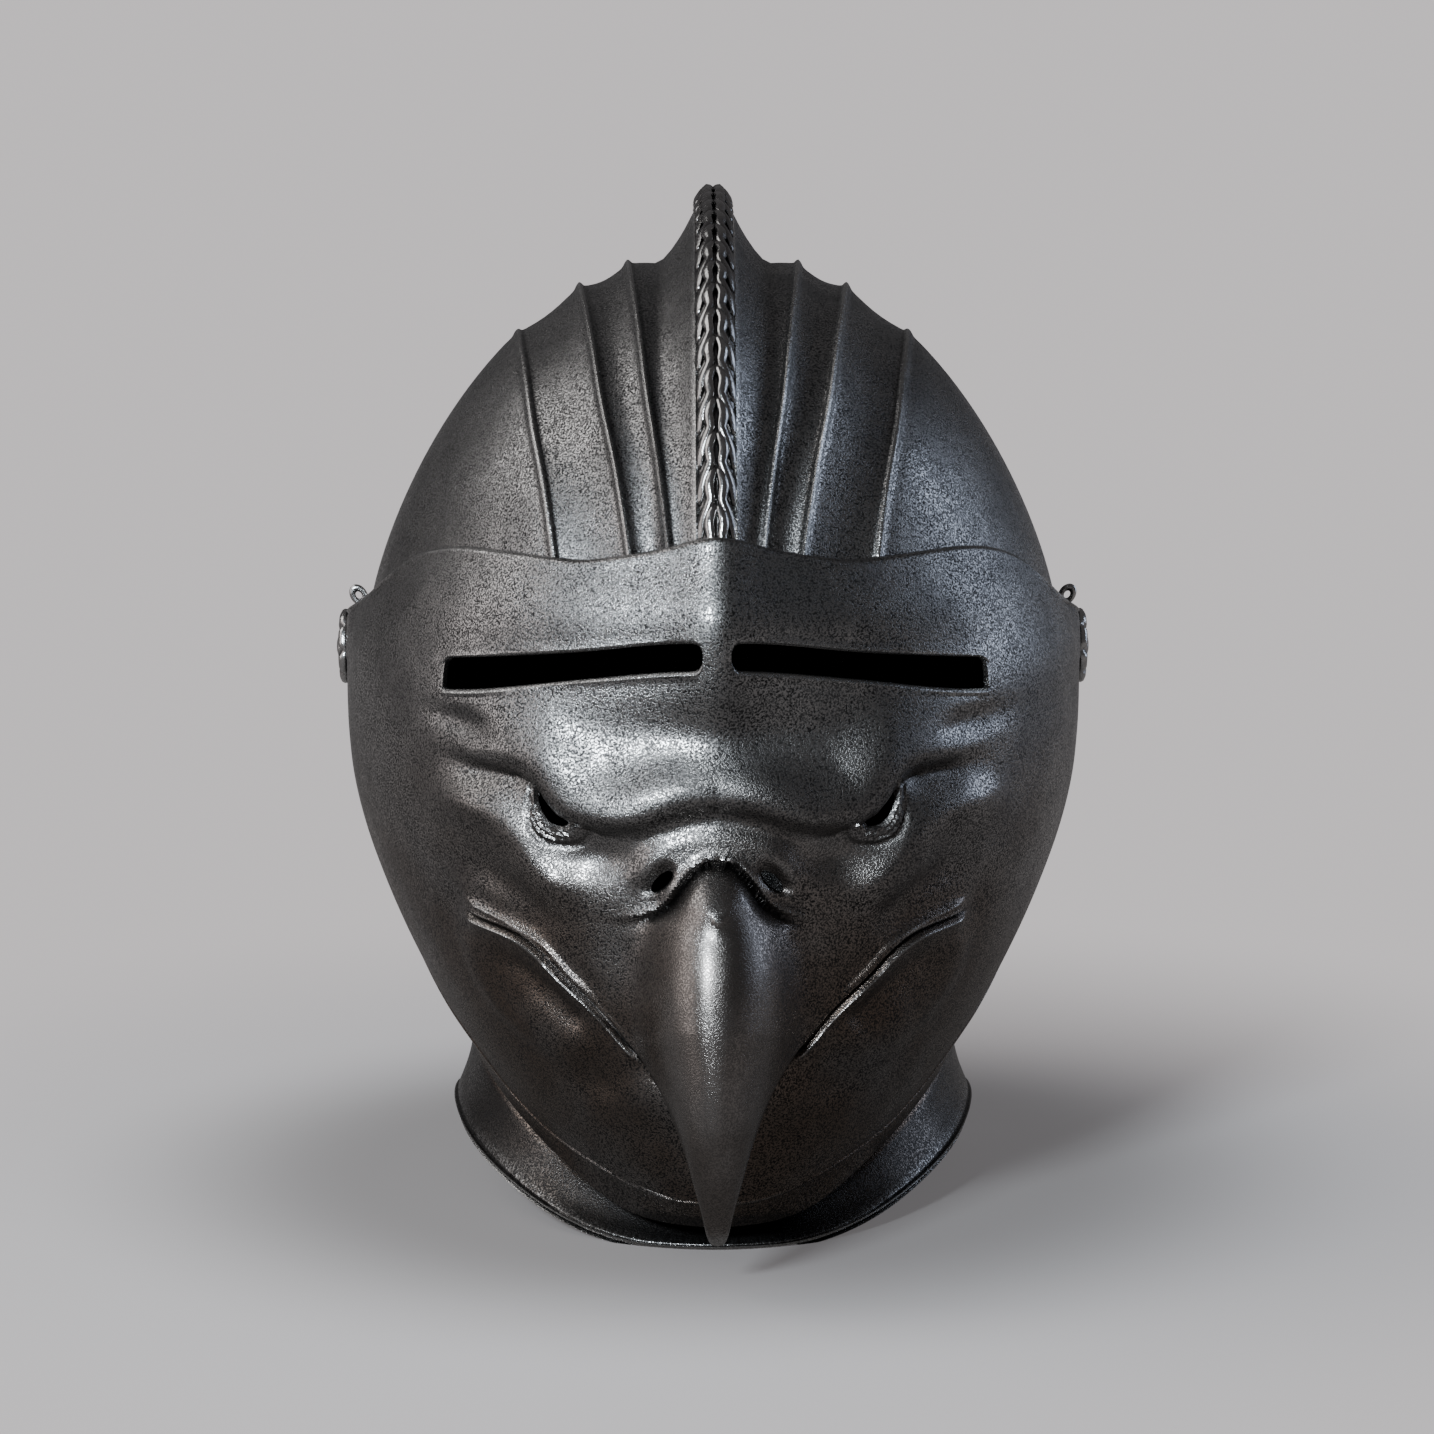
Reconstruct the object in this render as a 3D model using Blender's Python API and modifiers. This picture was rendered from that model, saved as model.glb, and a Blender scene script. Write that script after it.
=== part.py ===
import bpy
import bmesh
import math
import numpy as np

# Parade helmet: skull with a plaited comb, eagle-mask visor, bevor, two pivots with rosettes and lugs.
# Lengths below are in millimetres and become metres when a mesh is made. X is across, the face looks to -Y,
# Z is up, and the two pivots lie on a line along X at the height pivotZ.

pivotZ = 156.0
plate = 1.8
gap = 1.3
flatX = 108.2
combHalf = 5.6
plaitPitch = 4.53
ribTop = (25.6, 40.0, 58.3)
ribFront = (13.2, 24.0, 44.6)
ribLift = 0.8
fluteDepth = 2.6
domeHalf = 103.5
boltR = 3.0
boltHole = 3.35
rosetteR = 11.2
shiftY = 17.9
floorZ = 0.0
backSweep = 100.0
beakHalf = 17.5
beakUp = 51.0
beakDown = 16.0
beakRootZ = -88.0


def smooth(table):
    pts = np.array(sorted(table), float)
    xs = pts[:, 0]
    ys = pts[:, 1]
    slope = np.gradient(ys, xs)

    def at(x):
        x = np.clip(x, xs[0], xs[-1])
        i = np.clip(np.searchsorted(xs, x) - 1, 0, len(xs) - 2)
        h = xs[i + 1] - xs[i]
        t = (x - xs[i]) / h
        a = (2 * t ** 3 - 3 * t ** 2 + 1) * ys[i] + (t ** 3 - 2 * t ** 2 + t) * h * slope[i]
        return a + (3 * t ** 2 - 2 * t ** 3) * ys[i + 1] + (t ** 3 - t ** 2) * h * slope[i + 1]
    return at


# the mask's outer surface: half width and reach forward at a height above the pivots
maskW = smooth([(60, 86), (48, 93), (30, 101.2), (20, 104.6), (8, 108.3), (-8, 108.9), (-22, 108.6),
                (-36, 107.2), (-50, 104), (-64, 99.2), (-78, 93.4), (-92, 86.6), (-106, 79.2),
                (-120, 71), (-135, 60.5), (-150, 47)])
maskF = smooth([(60, 120), (48, 125), (20, 133), (0, 136), (-20, 139.5), (-36, 141), (-60, 140),
                (-90, 135.5), (-115, 130), (-130, 125.5), (-140, 121), (-150, 114)])
keel = smooth([(60, 9), (30, 9), (12, 8), (0, 5), (-12, 2), (-24, 0.4), (-34, 0), (-44, 0), (-150, 0)])

# the dome: radius about the pivots' line, by angle from straight ahead (0) over the top (90) to the back (180)
domeR = smooth([(0, 130.5), (20, 130), (45, 126), (70, 120.5), (99, 118), (130, 119.5), (160, 123),
                (180, 124.5)])
domeM = smooth([(0, 1.9), (20, 1.86), (50, 1.7), (99, 1.5), (140, 1.7), (180, 2.0)])
crest = smooth([(0, 137.4), (110, 137.4), (140, 136.2), (160, 134.3), (180, 132.5), (195, 132.8),
                (209, 134.6), (220, 139)])
ribSpread = smooth([(0, -0.25), (20, 0.0), (30, 0.2), (43, 0.49), (55, 0.66), (75, 0.88), (99, 1.0),
                    (140, 0.75), (180, 0.1)])
combSide = smooth([(0, 0.86), (3.6, 0.84), (5.0, 0.67), (6.9, 0.50), (11.4, 0.19), (15.9, 0.0),
                   (20, 0.0)])
backR = smooth([(0, 124.5), (-20, 124), (-45, 120.5), (-70, 114), (-90, 106), (-110, 98), (-134, 90)])
backFade = smooth([(0, 1.0), (-32, 0.75), (-64, 0.3), (-85, 0.0), (-140, 0.0)])

# neck: where the plates turn out into the collar, and the collar's rim, by angle round from the front
creaseZ = smooth([(0, -147), (30, -143), (45, -134), (60, -125), (75, -118), (90, -114), (135, -122),
                  (165, -132), (180, -134), (195, -132)])


def rimZ(turn):
    s = np.clip((np.abs(np.sin(np.radians(turn))) - 0.22) / 0.78, 0, 1)
    return -pivotZ + 19.0 * s ** 1.8


def ribX(k, phi):
    s = ribSpread(phi)
    return ribFront[k] + (ribTop[k] - ribFront[k]) * s


def domeBase(x, phi):
    n = 2.0 + 0.1 * np.sin(np.radians(phi)) ** 2
    return domeR(phi) * np.clip(1 - (np.abs(x) / domeHalf) ** n, 0, None) ** (1 / domeM(phi))


def domeSide(rho, phi):
    n = 2.0 + 0.1 * np.sin(np.radians(phi)) ** 2
    x = domeHalf * np.clip(1 - (rho / domeR(phi)) ** domeM(phi), 0, None) ** (1 / n)
    return np.minimum(x, flatX - 2 * plate - 2 * gap + 0.1)


def combShape(x):
    # share of the comb's rise at a distance from the middle; the foot runs out into the first flute
    return combSide(np.abs(x))


def domeRelief(x, phi):
    # comb, hollow flutes and raised ribs, as a change of radius
    ax = np.abs(x)
    rise = crest(phi) - domeR(phi)
    marks = [0 * ax, ribX(0, phi) + 0 * ax, ribX(1, phi) + 0 * ax, ribX(2, phi) + 0 * ax]
    depth = np.minimum(fluteDepth, 0.085 * (marks[3] - marks[1]))
    d = np.zeros_like(ax)
    for a, b in zip(marks, marks[1:]):
        t = np.clip((ax - a) / (b - a), 0, 1)
        d = d - depth * 4 * t * (1 - t)
    for r in marks[1:]:
        d = d + ribLift * np.exp(-((ax - r) / 1.3) ** 2)
    share = combShape(ax)
    return d * (1 - share) + rise * share


def backRelief(x, z):
    phi = np.degrees(np.arctan2(z, -backR(z))) % 360
    ax = np.abs(x)
    fade = backFade(z)
    marks = [ribX(k, 180.0) * (1 + z / 500) for k in range(3)]
    d = np.zeros_like(ax)
    for a, b in zip([0.0] + marks, marks):
        t = np.clip((ax - a) / (b - a), 0, 1)
        d = d - 2.4 * 4 * t * (1 - t) * fade
    for r in marks:
        d = d + ribLift * fade * np.exp(-((ax - r) / 1.3) ** 2)
    share = combShape(ax)
    rise = np.maximum(crest(phi) - np.hypot(backR(z), z), 0.0)
    return d * (1 - share) + rise * share


poleY = -14.0
poleX = flatX - 2 * plate - 2 * gap + 0.1


def domeRay(x, psi, relief=True):
    # distance from the pole line, along a ray at angle psi, to the dome at a given x
    c = math.cos(math.radians(psi))
    s = math.sin(math.radians(psi))
    low = np.zeros_like(x)
    high = np.full_like(x, 175.0)
    for _ in range(40):
        r = (low + high) / 2
        y = poleY - r * c
        z = r * s
        phi = np.degrees(np.arctan2(z, -y))
        aim = domeBase(x, phi) + (domeRelief(x, phi) if relief else 0)
        out = np.hypot(y, z) > aim
        high = np.where(out, r, high)
        low = np.where(out, low, r)
    return (low + high) / 2


def domeRow(psi, combs, sides):
    # one row of the dome, from the middle to the pole, as points (x, y, z)
    c = math.cos(math.radians(psi))
    s = math.sin(math.radians(psi))
    x = np.zeros(len(combs))
    for _ in range(3):
        r = domeRay(x, psi)
        phi = np.degrees(np.arctan2(r * s, -(poleY - r * c)))
        x = columnX(combs, phi)
    r = domeRay(x, psi)
    pts = [(a, poleY - b * c, b * s) for a, b in zip(x, r)]
    r3 = r[-1]
    for t in sides:
        rr = r3 * (1 - t)
        y = poleY - rr * c
        z = rr * s
        pts.append((float(domeSide(np.hypot(y, z), np.degrees(np.arctan2(z, -y)))), y, z))
    return np.array(pts)


def columnX(keys, phi):
    # keys below 1 are millimetres/20 on the comb; 1..4 run from the comb's foot past the three ribs
    out = []
    for k, p in zip(keys, np.broadcast_to(phi, (len(keys),))):
        if k <= 1:
            out.append(k * 10.0)
        else:
            marks = [10.0] + [float(ribX(i, p)) for i in range(3)]
            i = min(int(k) - 1, 2)
            out.append(marks[i] + (marks[i + 1] - marks[i]) * (k - 1 - i))
    return np.array(out)


def neckPoint(turn, t, halfW, reach, rimW, rimReach, inset):
    # t 0 at the crease, 1 at the rim
    a = math.radians(turn)
    z = creaseZ(abs(turn)) + (rimZ(turn) - creaseZ(abs(turn))) * t
    flare = t ** 0.8
    w = halfW + (rimW - halfW) * flare - inset
    r = reach + (rimReach - reach) * flare - inset
    return (w * math.sin(a), -r * math.cos(a), float(z))


def gridObject(name, grid, merge=0.0):
    rows, cols = grid.shape[:2]
    faces = []
    for i in range(rows - 1):
        for j in range(cols - 1):
            a = i * cols + j
            faces.append((a, a + 1, a + cols + 1, a + cols))
    return meshObject(name, grid.reshape(-1, 3), faces, merge)


def meshObject(name, verts, faces, merge=0.0):
    mesh = bpy.data.meshes.new(name)
    points = [(0.001 * x, 0.001 * (y + shiftY), 0.001 * (z + pivotZ)) for x, y, z in verts]
    mesh.from_pydata(points, [], faces)
    mesh.update()
    ob = bpy.data.objects.new(name, mesh)
    bpy.context.scene.collection.objects.link(ob)
    bm = bmesh.new()
    bm.from_mesh(mesh)
    if merge:
        bmesh.ops.remove_doubles(bm, verts=bm.verts, dist=merge)
    bmesh.ops.recalc_face_normals(bm, faces=bm.faces)
    bm.to_mesh(mesh)
    bm.free()
    return ob


def faceOut(ob):
    # sheets look away from the middle of the head before they are thickened
    mesh = ob.data
    mid = np.array([0, 0.001 * shiftY, 0.001 * pivotZ])
    score = 0.0
    for p in mesh.polygons:
        score += float(np.dot(np.array(p.normal), np.array(p.center) - mid)) * p.area
    if score < 0:
        mesh.flip_normals()


def thicken(ob, amount):
    mod = ob.modifiers.new("thickness", 'SOLIDIFY')
    mod.thickness = amount * 0.001
    mod.offset = -1
    mod.use_even_offset = False
    mod.use_rim = True


def cut(ob, cutter, operation='DIFFERENCE'):
    mod = ob.modifiers.new(cutter.name, 'BOOLEAN')
    mod.operation = operation
    mod.solver = 'EXACT'
    mod.object = cutter


def asCutter(ob):
    for coll in list(ob.users_collection):
        coll.objects.unlink(ob)
    cutters.objects.link(ob)
    ob.hide_render = True
    ob.display_type = 'WIRE'


def steel(name, rough, tone):
    mat = bpy.data.materials.new(name)
    mat.use_nodes = True
    shader = mat.node_tree.nodes["Principled BSDF"]
    shader.inputs["Base Color"].default_value = (tone, tone, tone * 1.02, 1)
    shader.inputs["Metallic"].default_value = 1.0
    shader.inputs["Roughness"].default_value = rough
    return mat


for ob in list(bpy.data.objects):
    bpy.data.objects.remove(ob, do_unlink=True)
cutters = bpy.data.collections.new("cutters")
bpy.context.scene.collection.children.link(cutters)
plateSteel = steel("helmet_steel", 0.42, 0.30)
pinSteel = steel("fitting_steel", 0.36, 0.38)

# skull: the dome is lofted in half circles about a pole line near the pivots, then down the back to the collar
combs = [0.0, 0.44, 0.66, 1.0, 1.5, 2.0, 2.5, 3.0, 3.33, 3.67, 4.0]
sides = [0.15, 0.33, 0.54, 0.78, 1.0]
psis = np.linspace(16, 180, 14)
backLevels = [0.16, 0.34, 0.54, 0.76, 0.94]


def mirrorRow(half):
    left = half[::-1].copy()
    left[:, 0] *= -1
    return np.vstack([left[:-1], half])


rowsUp = [mirrorRow(domeRow(p, combs, sides)) for p in psis]
sideW = smooth([(z, float(maskW(z)) - 2 * plate - 2 * gap + 0.1) for z in range(-110, 1, 10)])
edgeY = smooth([(0, -14), (-20, -4), (-60, 4), (-110, 6), (-160, 0)])


def backRow(level):
    pts = []
    marks = columnX(combs, 180.0)
    for x in marks:
        z = level * float(creaseZ(180 - 45 * x / 60))
        w = min(float(sideW(max(z, -108.0))), poleX + 0.5)
        x = x * (1 + z / 500) * 1.0
        y = float(backR(z)) * math.sqrt(max(1 - (x / w) ** 2, 0)) + float(backRelief(np.array(x), z))
        pts.append((x, y, z))
    y3 = pts[-1][1]
    for t in sides:
        y = y3 + (float(edgeY(level * float(creaseZ(90)))) - y3) * t
        z = level * float(creaseZ(90 + 90 * max(y, 0) / 118))
        w = min(float(sideW(max(z, -108.0))), poleX + 0.5)
        x = min(w * math.sqrt(1 - (y / float(backR(z))) ** 2), poleX)
        pts.append((x, y, z))
    return np.array(pts)


def backNeckRow(t):
    pts = []
    ref = backRow(0.94)
    w = float(sideW(-106.0))
    for x, y, z in ref:
        turn = 180 - math.degrees(math.atan2(x / w, y / float(backR(-126))))
        turn = max(turn, 86.0)
        inset = plate + gap if turn < 105 else (plate + gap) * max(0.0, 1 - (turn - 105) / 25)
        inset = inset * (0.6 + 0.4 * min(1, (180 - turn) / 60))
        pts.append(neckPoint(turn, t, 71.5, 90.0, 77.7, 108.0, inset))
    return np.array(pts)


rowsDown = [mirrorRow(backRow(t)) for t in backLevels] + [mirrorRow(backNeckRow(t)) for t in (0.0, 0.45, 1.0)]
skull = gridObject("skull", np.array(rowsUp + rowsDown), 2e-5)
faceOut(skull)
thicken(skull, plate)
skull.data.materials.append(plateSteel)


def combRise(phi):
    # how far the comb's crest stands over the plate it grows from
    if phi <= 180:
        return crest(phi) - domeR(phi)
    z = -crest(phi) * math.sin(math.radians(phi - 180))
    return max(float(crest(phi)) - math.hypot(float(backR(z)), float(z)), 0.0)


def combTop(phi):
    return float(crest(phi)) - (1 - float(combSide(0.0))) * float(combRise(phi))


def plait():
    # the plaited strand along the comb: chevrons that point up the comb, grooves between them
    xs = np.array([-combHalf, -2.7, 0.0, 2.7, combHalf])
    drop = np.array([2.0, 0.0, 0.5, 0.0, 2.0])
    shift = 0.72 * plaitPitch * np.abs(xs) / combHalf
    verts = []
    steps = int((211 - 18) / plaitPitch) * 2

    def place(x, phi, r):
        a = math.radians(phi)
        return (x, -r * math.cos(a), r * math.sin(a))
    for i in range(steps + 1):
        fade = min(1.0, i / 2, (steps - i) / 4)
        mid = 18 + (i + 1) * plaitPitch / 2
        high = 0.0 if i % 2 == 0 else -1.05 * fade * min(1.0, float(combRise(mid)) / 6)
        for x, d, s in zip(xs, drop, shift):
            rise = float(combRise(mid - s))
            verts.append(place(x, mid - s, float(crest(mid - s)) - min(d, 0.25 * rise) + high))
        for x in (3.2, -3.2):
            verts.append(place(x, mid - 0.4 * plaitPitch, combTop(mid - 0.4 * plaitPitch) - 0.5 * plate))
    n = len(xs) + 2
    faces = []
    for i in range(steps):
        for j in range(n):
            a = i * n + j
            b = i * n + (j + 1) % n
            faces.append((a, b, b + n, a + n))
    faces.append(tuple(range(n)))
    faces.append(tuple(range(steps * n, steps * n + n)))
    return meshObject("plait", np.array(verts).reshape(-1, 3), faces)


braid = plait()
asCutter(braid)
cut(skull, braid, 'UNION')

# the mask's surface, shared by the visor and the bevor that lies inside it
def maskBase(alpha, z, inset):
    a = math.radians(alpha)
    ex = 1.0 - 0.05 * float(np.clip((z + 50) / 50, 0, 1))
    w = float(maskW(z)) - inset
    f = float(maskF(z)) - inset
    x = w * math.copysign(abs(math.sin(a)) ** ex, a)
    c = math.cos(a)
    y = -f * c ** ex if c > 0 else -backSweep * c
    if c < 0:
        x = math.copysign(w, x)
    if z > 0:
        # the arms are flat round the pivots
        k = float(np.clip((34 - math.hypot(y, z)) / 18, 0, 1))
        x = math.copysign(abs(x) + (flatX - inset - abs(x)) * k * k * (3 - 2 * k), x)
    x = math.copysign(min(abs(x), flatX - inset), x)
    return x, y


def track(ax, z, pts):
    # distance from (ax, z) to a chain of points
    best = 1e9
    for (x0, z0), (x1, z1) in zip(pts, pts[1:]):
        dx, dz = x1 - x0, z1 - z0
        t = min(max(((ax - x0) * dx + (z - z0) * dz) / (dx * dx + dz * dz), 0), 1)
        best = min(best, math.hypot(ax - x0 - t * dx, z - z0 - t * dz))
    return best


browLine = smooth([(0, -21.5), (8, -22.5), (15, -27.5), (22, -31.2), (33, -30.6), (41, -29.3),
                   (46, -26.5), (50, -22.5), (53, -17), (58, -10)])
browRise = smooth([(0, 2.5), (10, 3.4), (20, 4.6), (40, 5.2), (48, 4.6), (55, 2.0), (62, 0.0), (70, 0.0)])
lipLine = [(71, -63.8), (62.6, -64), (56, -65.4), (50.3, -69), (43.3, -75.3), (37.5, -80.4), (31, -86.7),
           (23.5, -94.2), (18.5, -96.8)]
upperLip = [(71, -55), (63.7, -58.8), (55.9, -61), (49.6, -64.3), (44.4, -69.6), (39.6, -73.9)]
cereLine = [(18.3, -51.5), (11.5, -47.4), (9.1, -44.3), (4.5, -40.2), (0, -38.3)]


def relief(x, z):
    ax = abs(x)
    dz = z - float(browLine(ax))
    d = 0.0
    if dz > 0:
        d += float(browRise(ax)) * math.exp(-(dz / 13.0) ** 2)
    else:
        d += float(browRise(ax)) * math.exp(-(dz / 3.0) ** 2)
    d -= 2.6 * math.exp(-((ax - 42) / 11) ** 2 - ((z + 36) / 5.5) ** 2)
    d += 1.8 * math.exp(-(track(ax, z, lipLine) / 2.6) ** 2)
    d += 1.2 * math.exp(-(track(ax, z, upperLip) / 2.2) ** 2)
    d += 2.2 * math.exp(-(track(ax, z, cereLine) / 2.6) ** 2)
    d += 2.0 * math.exp(-((ax - 23) / 9) ** 2 - ((z + 106) / 7) ** 2)
    return d


ridgeY = smooth([(0, -141), (0.1, -148.5), (0.2, -154), (0.35, -161), (0.5, -166.3), (0.65, -168.3),
                 (0.8, -166), (0.9, -160.5), (1, -149)])
ridgeZ = smooth([(0, -37), (0.1, -40), (0.2, -47), (0.35, -61.5), (0.5, -80), (0.65, -98), (0.8, -116),
                 (0.9, -129), (1, -144)])
underY = smooth([(0, -133), (0.15, -139), (0.35, -146), (0.6, -149.5), (0.8, -150), (1, -148)])
underZ = smooth([(0, -104), (0.15, -107), (0.35, -114), (0.6, -124), (0.8, -133), (1, -144)])
hornW = smooth([(0, 17.5), (0.1, 15.0), (0.2, 13.8), (0.35, 13.4), (0.5, 12.8), (0.65, 10.8), (0.8, 7.2),
                (0.9, 4.4), (1, 0.5)])


def horn(x, z, base, inner):
    # carries a point of the mask inside the beak's footprint out along the beak
    length = beakUp if z > beakRootZ else beakDown
    qx = abs(x) / beakHalf
    qz = abs(z - beakRootZ) / length
    q = (qx ** 3 + qz ** 3) ** (1 / 3)
    if q >= 1:
        return base
    s = 1 - q
    turn = math.atan2(x / beakHalf, (z - beakRootZ) / length)
    edgeX = x / q if q > 1e-6 else 0.0
    edgeZ = beakRootZ + (z - beakRootZ) / q if q > 1e-6 else beakRootZ
    t = s * 0.86 if inner else s
    ry, rz, uy, uz, w = (float(f(t)) for f in (ridgeY, ridgeZ, underY, underZ, hornW))
    wall = plate + 0.3 if inner else 0.0
    cy, cz = (ry + uy) / 2, (rz + uz) / 2
    hy, hz = (ry - uy) / 2, (rz - uz) / 2
    size = max(math.hypot(hy, hz), 0.05)
    shrink = max(size - wall, 0.2) / size
    close = 1 - s ** 8 if inner else 1.0
    w = max(w - wall, 0.2) * close
    hy, hz = hy * shrink * close, hz * shrink * close
    px = w * math.sin(turn)
    py = cy + hy * math.cos(turn)
    pz = cz + hz * math.cos(turn)
    # back to the mask's own surface at the edge of the footprint
    y0 = (ridgeY(0) + underY(0)) / 2 + (ridgeY(0) - underY(0)) / 2 * math.cos(turn)
    z0 = (ridgeZ(0) + underZ(0)) / 2 + (ridgeZ(0) - underZ(0)) / 2 * math.cos(turn)
    x0 = beakHalf * math.sin(turn)
    keep = (1 - min(s / 0.4, 1)) ** 2
    if q > 1e-6:
        px += (edgeX - x0) * keep
        py += (base[1] - float(y0)) * keep
        pz += (edgeZ - float(z0)) * keep
    return (px, py, pz)


def maskPoint(alpha, z, inner):
    x, y = maskBase(alpha, z, 0.0)
    nx, ny = x / float(maskW(z)) ** 2, y / float(maskF(z)) ** 2
    if y > 0:
        ny = 0.0
    n = math.hypot(nx, ny)
    nx, ny = nx / n, ny / n
    # the surface leans back under the widest height, so the offset leans too
    slope = (float(maskW(z + 2)) - float(maskW(z - 2))) / 4
    nz = -slope * abs(nx)
    off = relief(x, z) - (plate * math.sqrt(1 + nz * nz) if inner else 0.0)
    if abs(x) > flatX - 4 and abs(z) < 24:
        off = -plate if inner else 0.0
    k = float(keel(z)) / (1 + (x / 13.0) ** 2)
    p = (x + nx * off, y + ny * off - k, z)
    if inner:
        p = (math.copysign(min(abs(p[0]), flatX - plate), p[0]), p[1], p[2])
    p = horn(x, z, p, inner)
    if inner and z < beakRootZ:
        # the inner corner under the beak's root sits higher than the outer one
        p = (p[0], p[1], p[2] + 2.2 * max(0.0, 1 - abs(z + 104) / 9) * max(0.0, 1 - (x / 20) ** 2))
    return p


zTop = smooth([(0, 48.3), (3, 47.3), (8, 44.6), (14.5, 42.2), (21, 40.6), (28, 40.7), (38, 41.1),
               (45, 40.9), (52, 39.3), (59, 35.5), (66, 28.5), (72, 22.8), (80, 17.5), (86, 13.4),
               (90, 12.5), (99, 10.5)])
zBot = smooth([(0, -140.5), (12, -139.8), (24, -137), (34, -133), (45, -128.5), (52, -124.5), (58, -119),
               (64, -112.5), (70, -107), (80, -101), (90, -94), (99, -84)])
sweep = smooth([(18, 97), (0, 98.5), (-20, 96), (-45, 88), (-100, 84)])
midZ = [48.3, 40, 31, 21, 12, 3, -6, -13, -18, -22, -26, -30, -34, -38, -42, -46, -51, -57, -63, -69,
        -75, -80, -84, -88, -92, -96, -100, -104, -110, -118, -129, -140.5]
across = [0, 1.6, 3.3, 5.2, 7.6, 10.8, 14.5, 18.5, 23, 28, 33.5, 40, 48, 57, 67, 78, 89, 99]
across = [-a for a in across[:0:-1]] + across


def maskGrid(inner):
    grid = []
    for zc in midZ:
        v = (midZ[0] - zc) / (midZ[0] - midZ[-1])
        row = []
        for a in across:
            z = float(zTop(abs(a))) * (1 - v) + float(zBot(abs(a))) * v
            reachA = float(sweep(z)) / 99.0
            alpha = a * (1 - (1 - reachA) * (abs(a) / 99) ** 2)
            row.append(maskPoint(alpha, z, inner))
        grid.append(row)
    return np.array(grid)


def shell(name, outer, inner):
    rows, cols = outer.shape[:2]
    n = rows * cols
    verts = np.vstack([outer.reshape(-1, 3), inner.reshape(-1, 3)])
    faces = []
    for i in range(rows - 1):
        for j in range(cols - 1):
            a = i * cols + j
            faces.append((a, a + 1, a + cols + 1, a + cols))
            faces.append((n + a, n + a + cols, n + a + cols + 1, n + a + 1))
    ring = [j for j in range(cols)] + [i * cols + cols - 1 for i in range(1, rows)]
    ring += [(rows - 1) * cols + j for j in range(cols - 2, -1, -1)]
    ring += [i * cols for i in range(rows - 2, 0, -1)]
    for a, b in zip(ring, ring[1:] + ring[:1]):
        faces.append((a, n + a, n + b, b))
    return meshObject(name, verts, faces)


visor = shell("visor", maskGrid(False), maskGrid(True))
visor.data.materials.append(plateSteel)


def prism(name, outline, axis, near, far):
    # outline given as (x, z) for axis 'Y' or (y, z) for axis 'X'
    verts = []
    for depth in (near, far):
        for p, z in outline:
            verts.append((p, depth, z) if axis == 'Y' else (depth, p, z))
    n = len(outline)
    faces = [tuple(range(n)), tuple(range(2 * n - 1, n - 1, -1))]
    for i in range(n):
        j = (i + 1) % n
        faces.append((i, j, n + j, n + i))
    ob = meshObject(name, verts, faces)
    asCutter(ob)
    return ob


def oval(cx, cz, a, b, tilt, count=10, bend=0.0):
    pts = []
    for i in range(count):
        t = 2 * math.pi * i / count
        u, v = a * math.cos(t), b * math.sin(t)
        v += bend * (1 - (u / a) ** 2)
        c, s = math.cos(math.radians(tilt)), math.sin(math.radians(tilt))
        pts.append((cx + u * c - v * s, cz + u * s + v * c))
    return pts


for side, tag in ((-1, "left"), (1, "right")):
    sight = [(4.9, 13.0), (37.3, 8.9), (74.5, 2.4), (76.2, 3.4), (75.2, 10.2), (72.8, 11.2),
             (37.5, 16.3), (6.2, 20.4), (4.2, 19.4), (3.6, 16.6), (3.9, 14.2)]
    cut(visor, prism("sight_cut_" + tag, [(side * x, z) for x, z in sight], 'Y', -175, -60))
    eye = oval(46.8, -28.2, 4.0, 1.8, 50, 8)
    cut(visor, prism("eye_cut_" + tag, [(side * x, z) for x, z in eye], 'Y', -150, -95))
    nostril = oval(15.6, -44.6, 3.3, 2.3, -25, 8)
    cut(visor, prism("nostril_cut_" + tag, [(side * x, z) for x, z in nostril], 'Y', -175, -100))

# bevor: covers the chin inside the visor and turns out into the front of the collar
bevTop = smooth([(0, -80), (25, -77), (45, -68), (60, -46), (72, -18), (80, -2), (86, 6.5), (92, 9),
                 (99, 8)])
bevSweep = smooth([(12, 97), (0, 98.5), (-20, 97.5), (-60, 96), (-120, 97)])
bevTurns = np.concatenate([np.linspace(0, 60, 9), [68, 75, 81, 87, 93, 99]])
bevTurns = np.concatenate([-bevTurns[:0:-1], bevTurns])
inset = plate + gap


def bevorColumn(turn):
    a = abs(turn)
    pts = []
    crease = float(creaseZ(a))
    end = crease + 5.5
    for v in (0, 0.14, 0.3, 0.48, 0.66, 0.84, 1.0):
        z = float(bevTop(a)) * (1 - v) + end * v
        alpha = a * float(bevSweep(z)) / 99.0
        x, y = maskBase(alpha, z, inset)
        pts.append((x, y, z))
    turned = a * 97.0 / 99.0
    cx, cy, cz = neckPoint(turned, 0.0, 71.5, 95.0, 77.7, 108.0, 0.0)
    x, y, z = pts[-1]
    low = max(math.cos(math.radians(a)), 0)
    pts.append((x * 0.72 + cx * 0.28, y * 0.72 + cy * 0.28, crease + 1.2 - 3.4 * low))
    pts.append((x * 0.3 + cx * 0.7, y * 0.3 + cy * 0.7, crease + 0.4 - 2.0 * low))
    pts.append((cx, cy, cz))
    for t in (0.5, 1.0):
        pts.append(neckPoint(turned, t, 71.5, 95.0, 77.7, 108.0, 0.0))
    pts = np.array(pts)
    if turn < 0:
        pts[:, 0] *= -1
    return pts


bevor = gridObject("bevor", np.array([bevorColumn(t) for t in bevTurns]))
faceOut(bevor)
thicken(bevor, plate)
bevor.data.materials.append(plateSteel)

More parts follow.
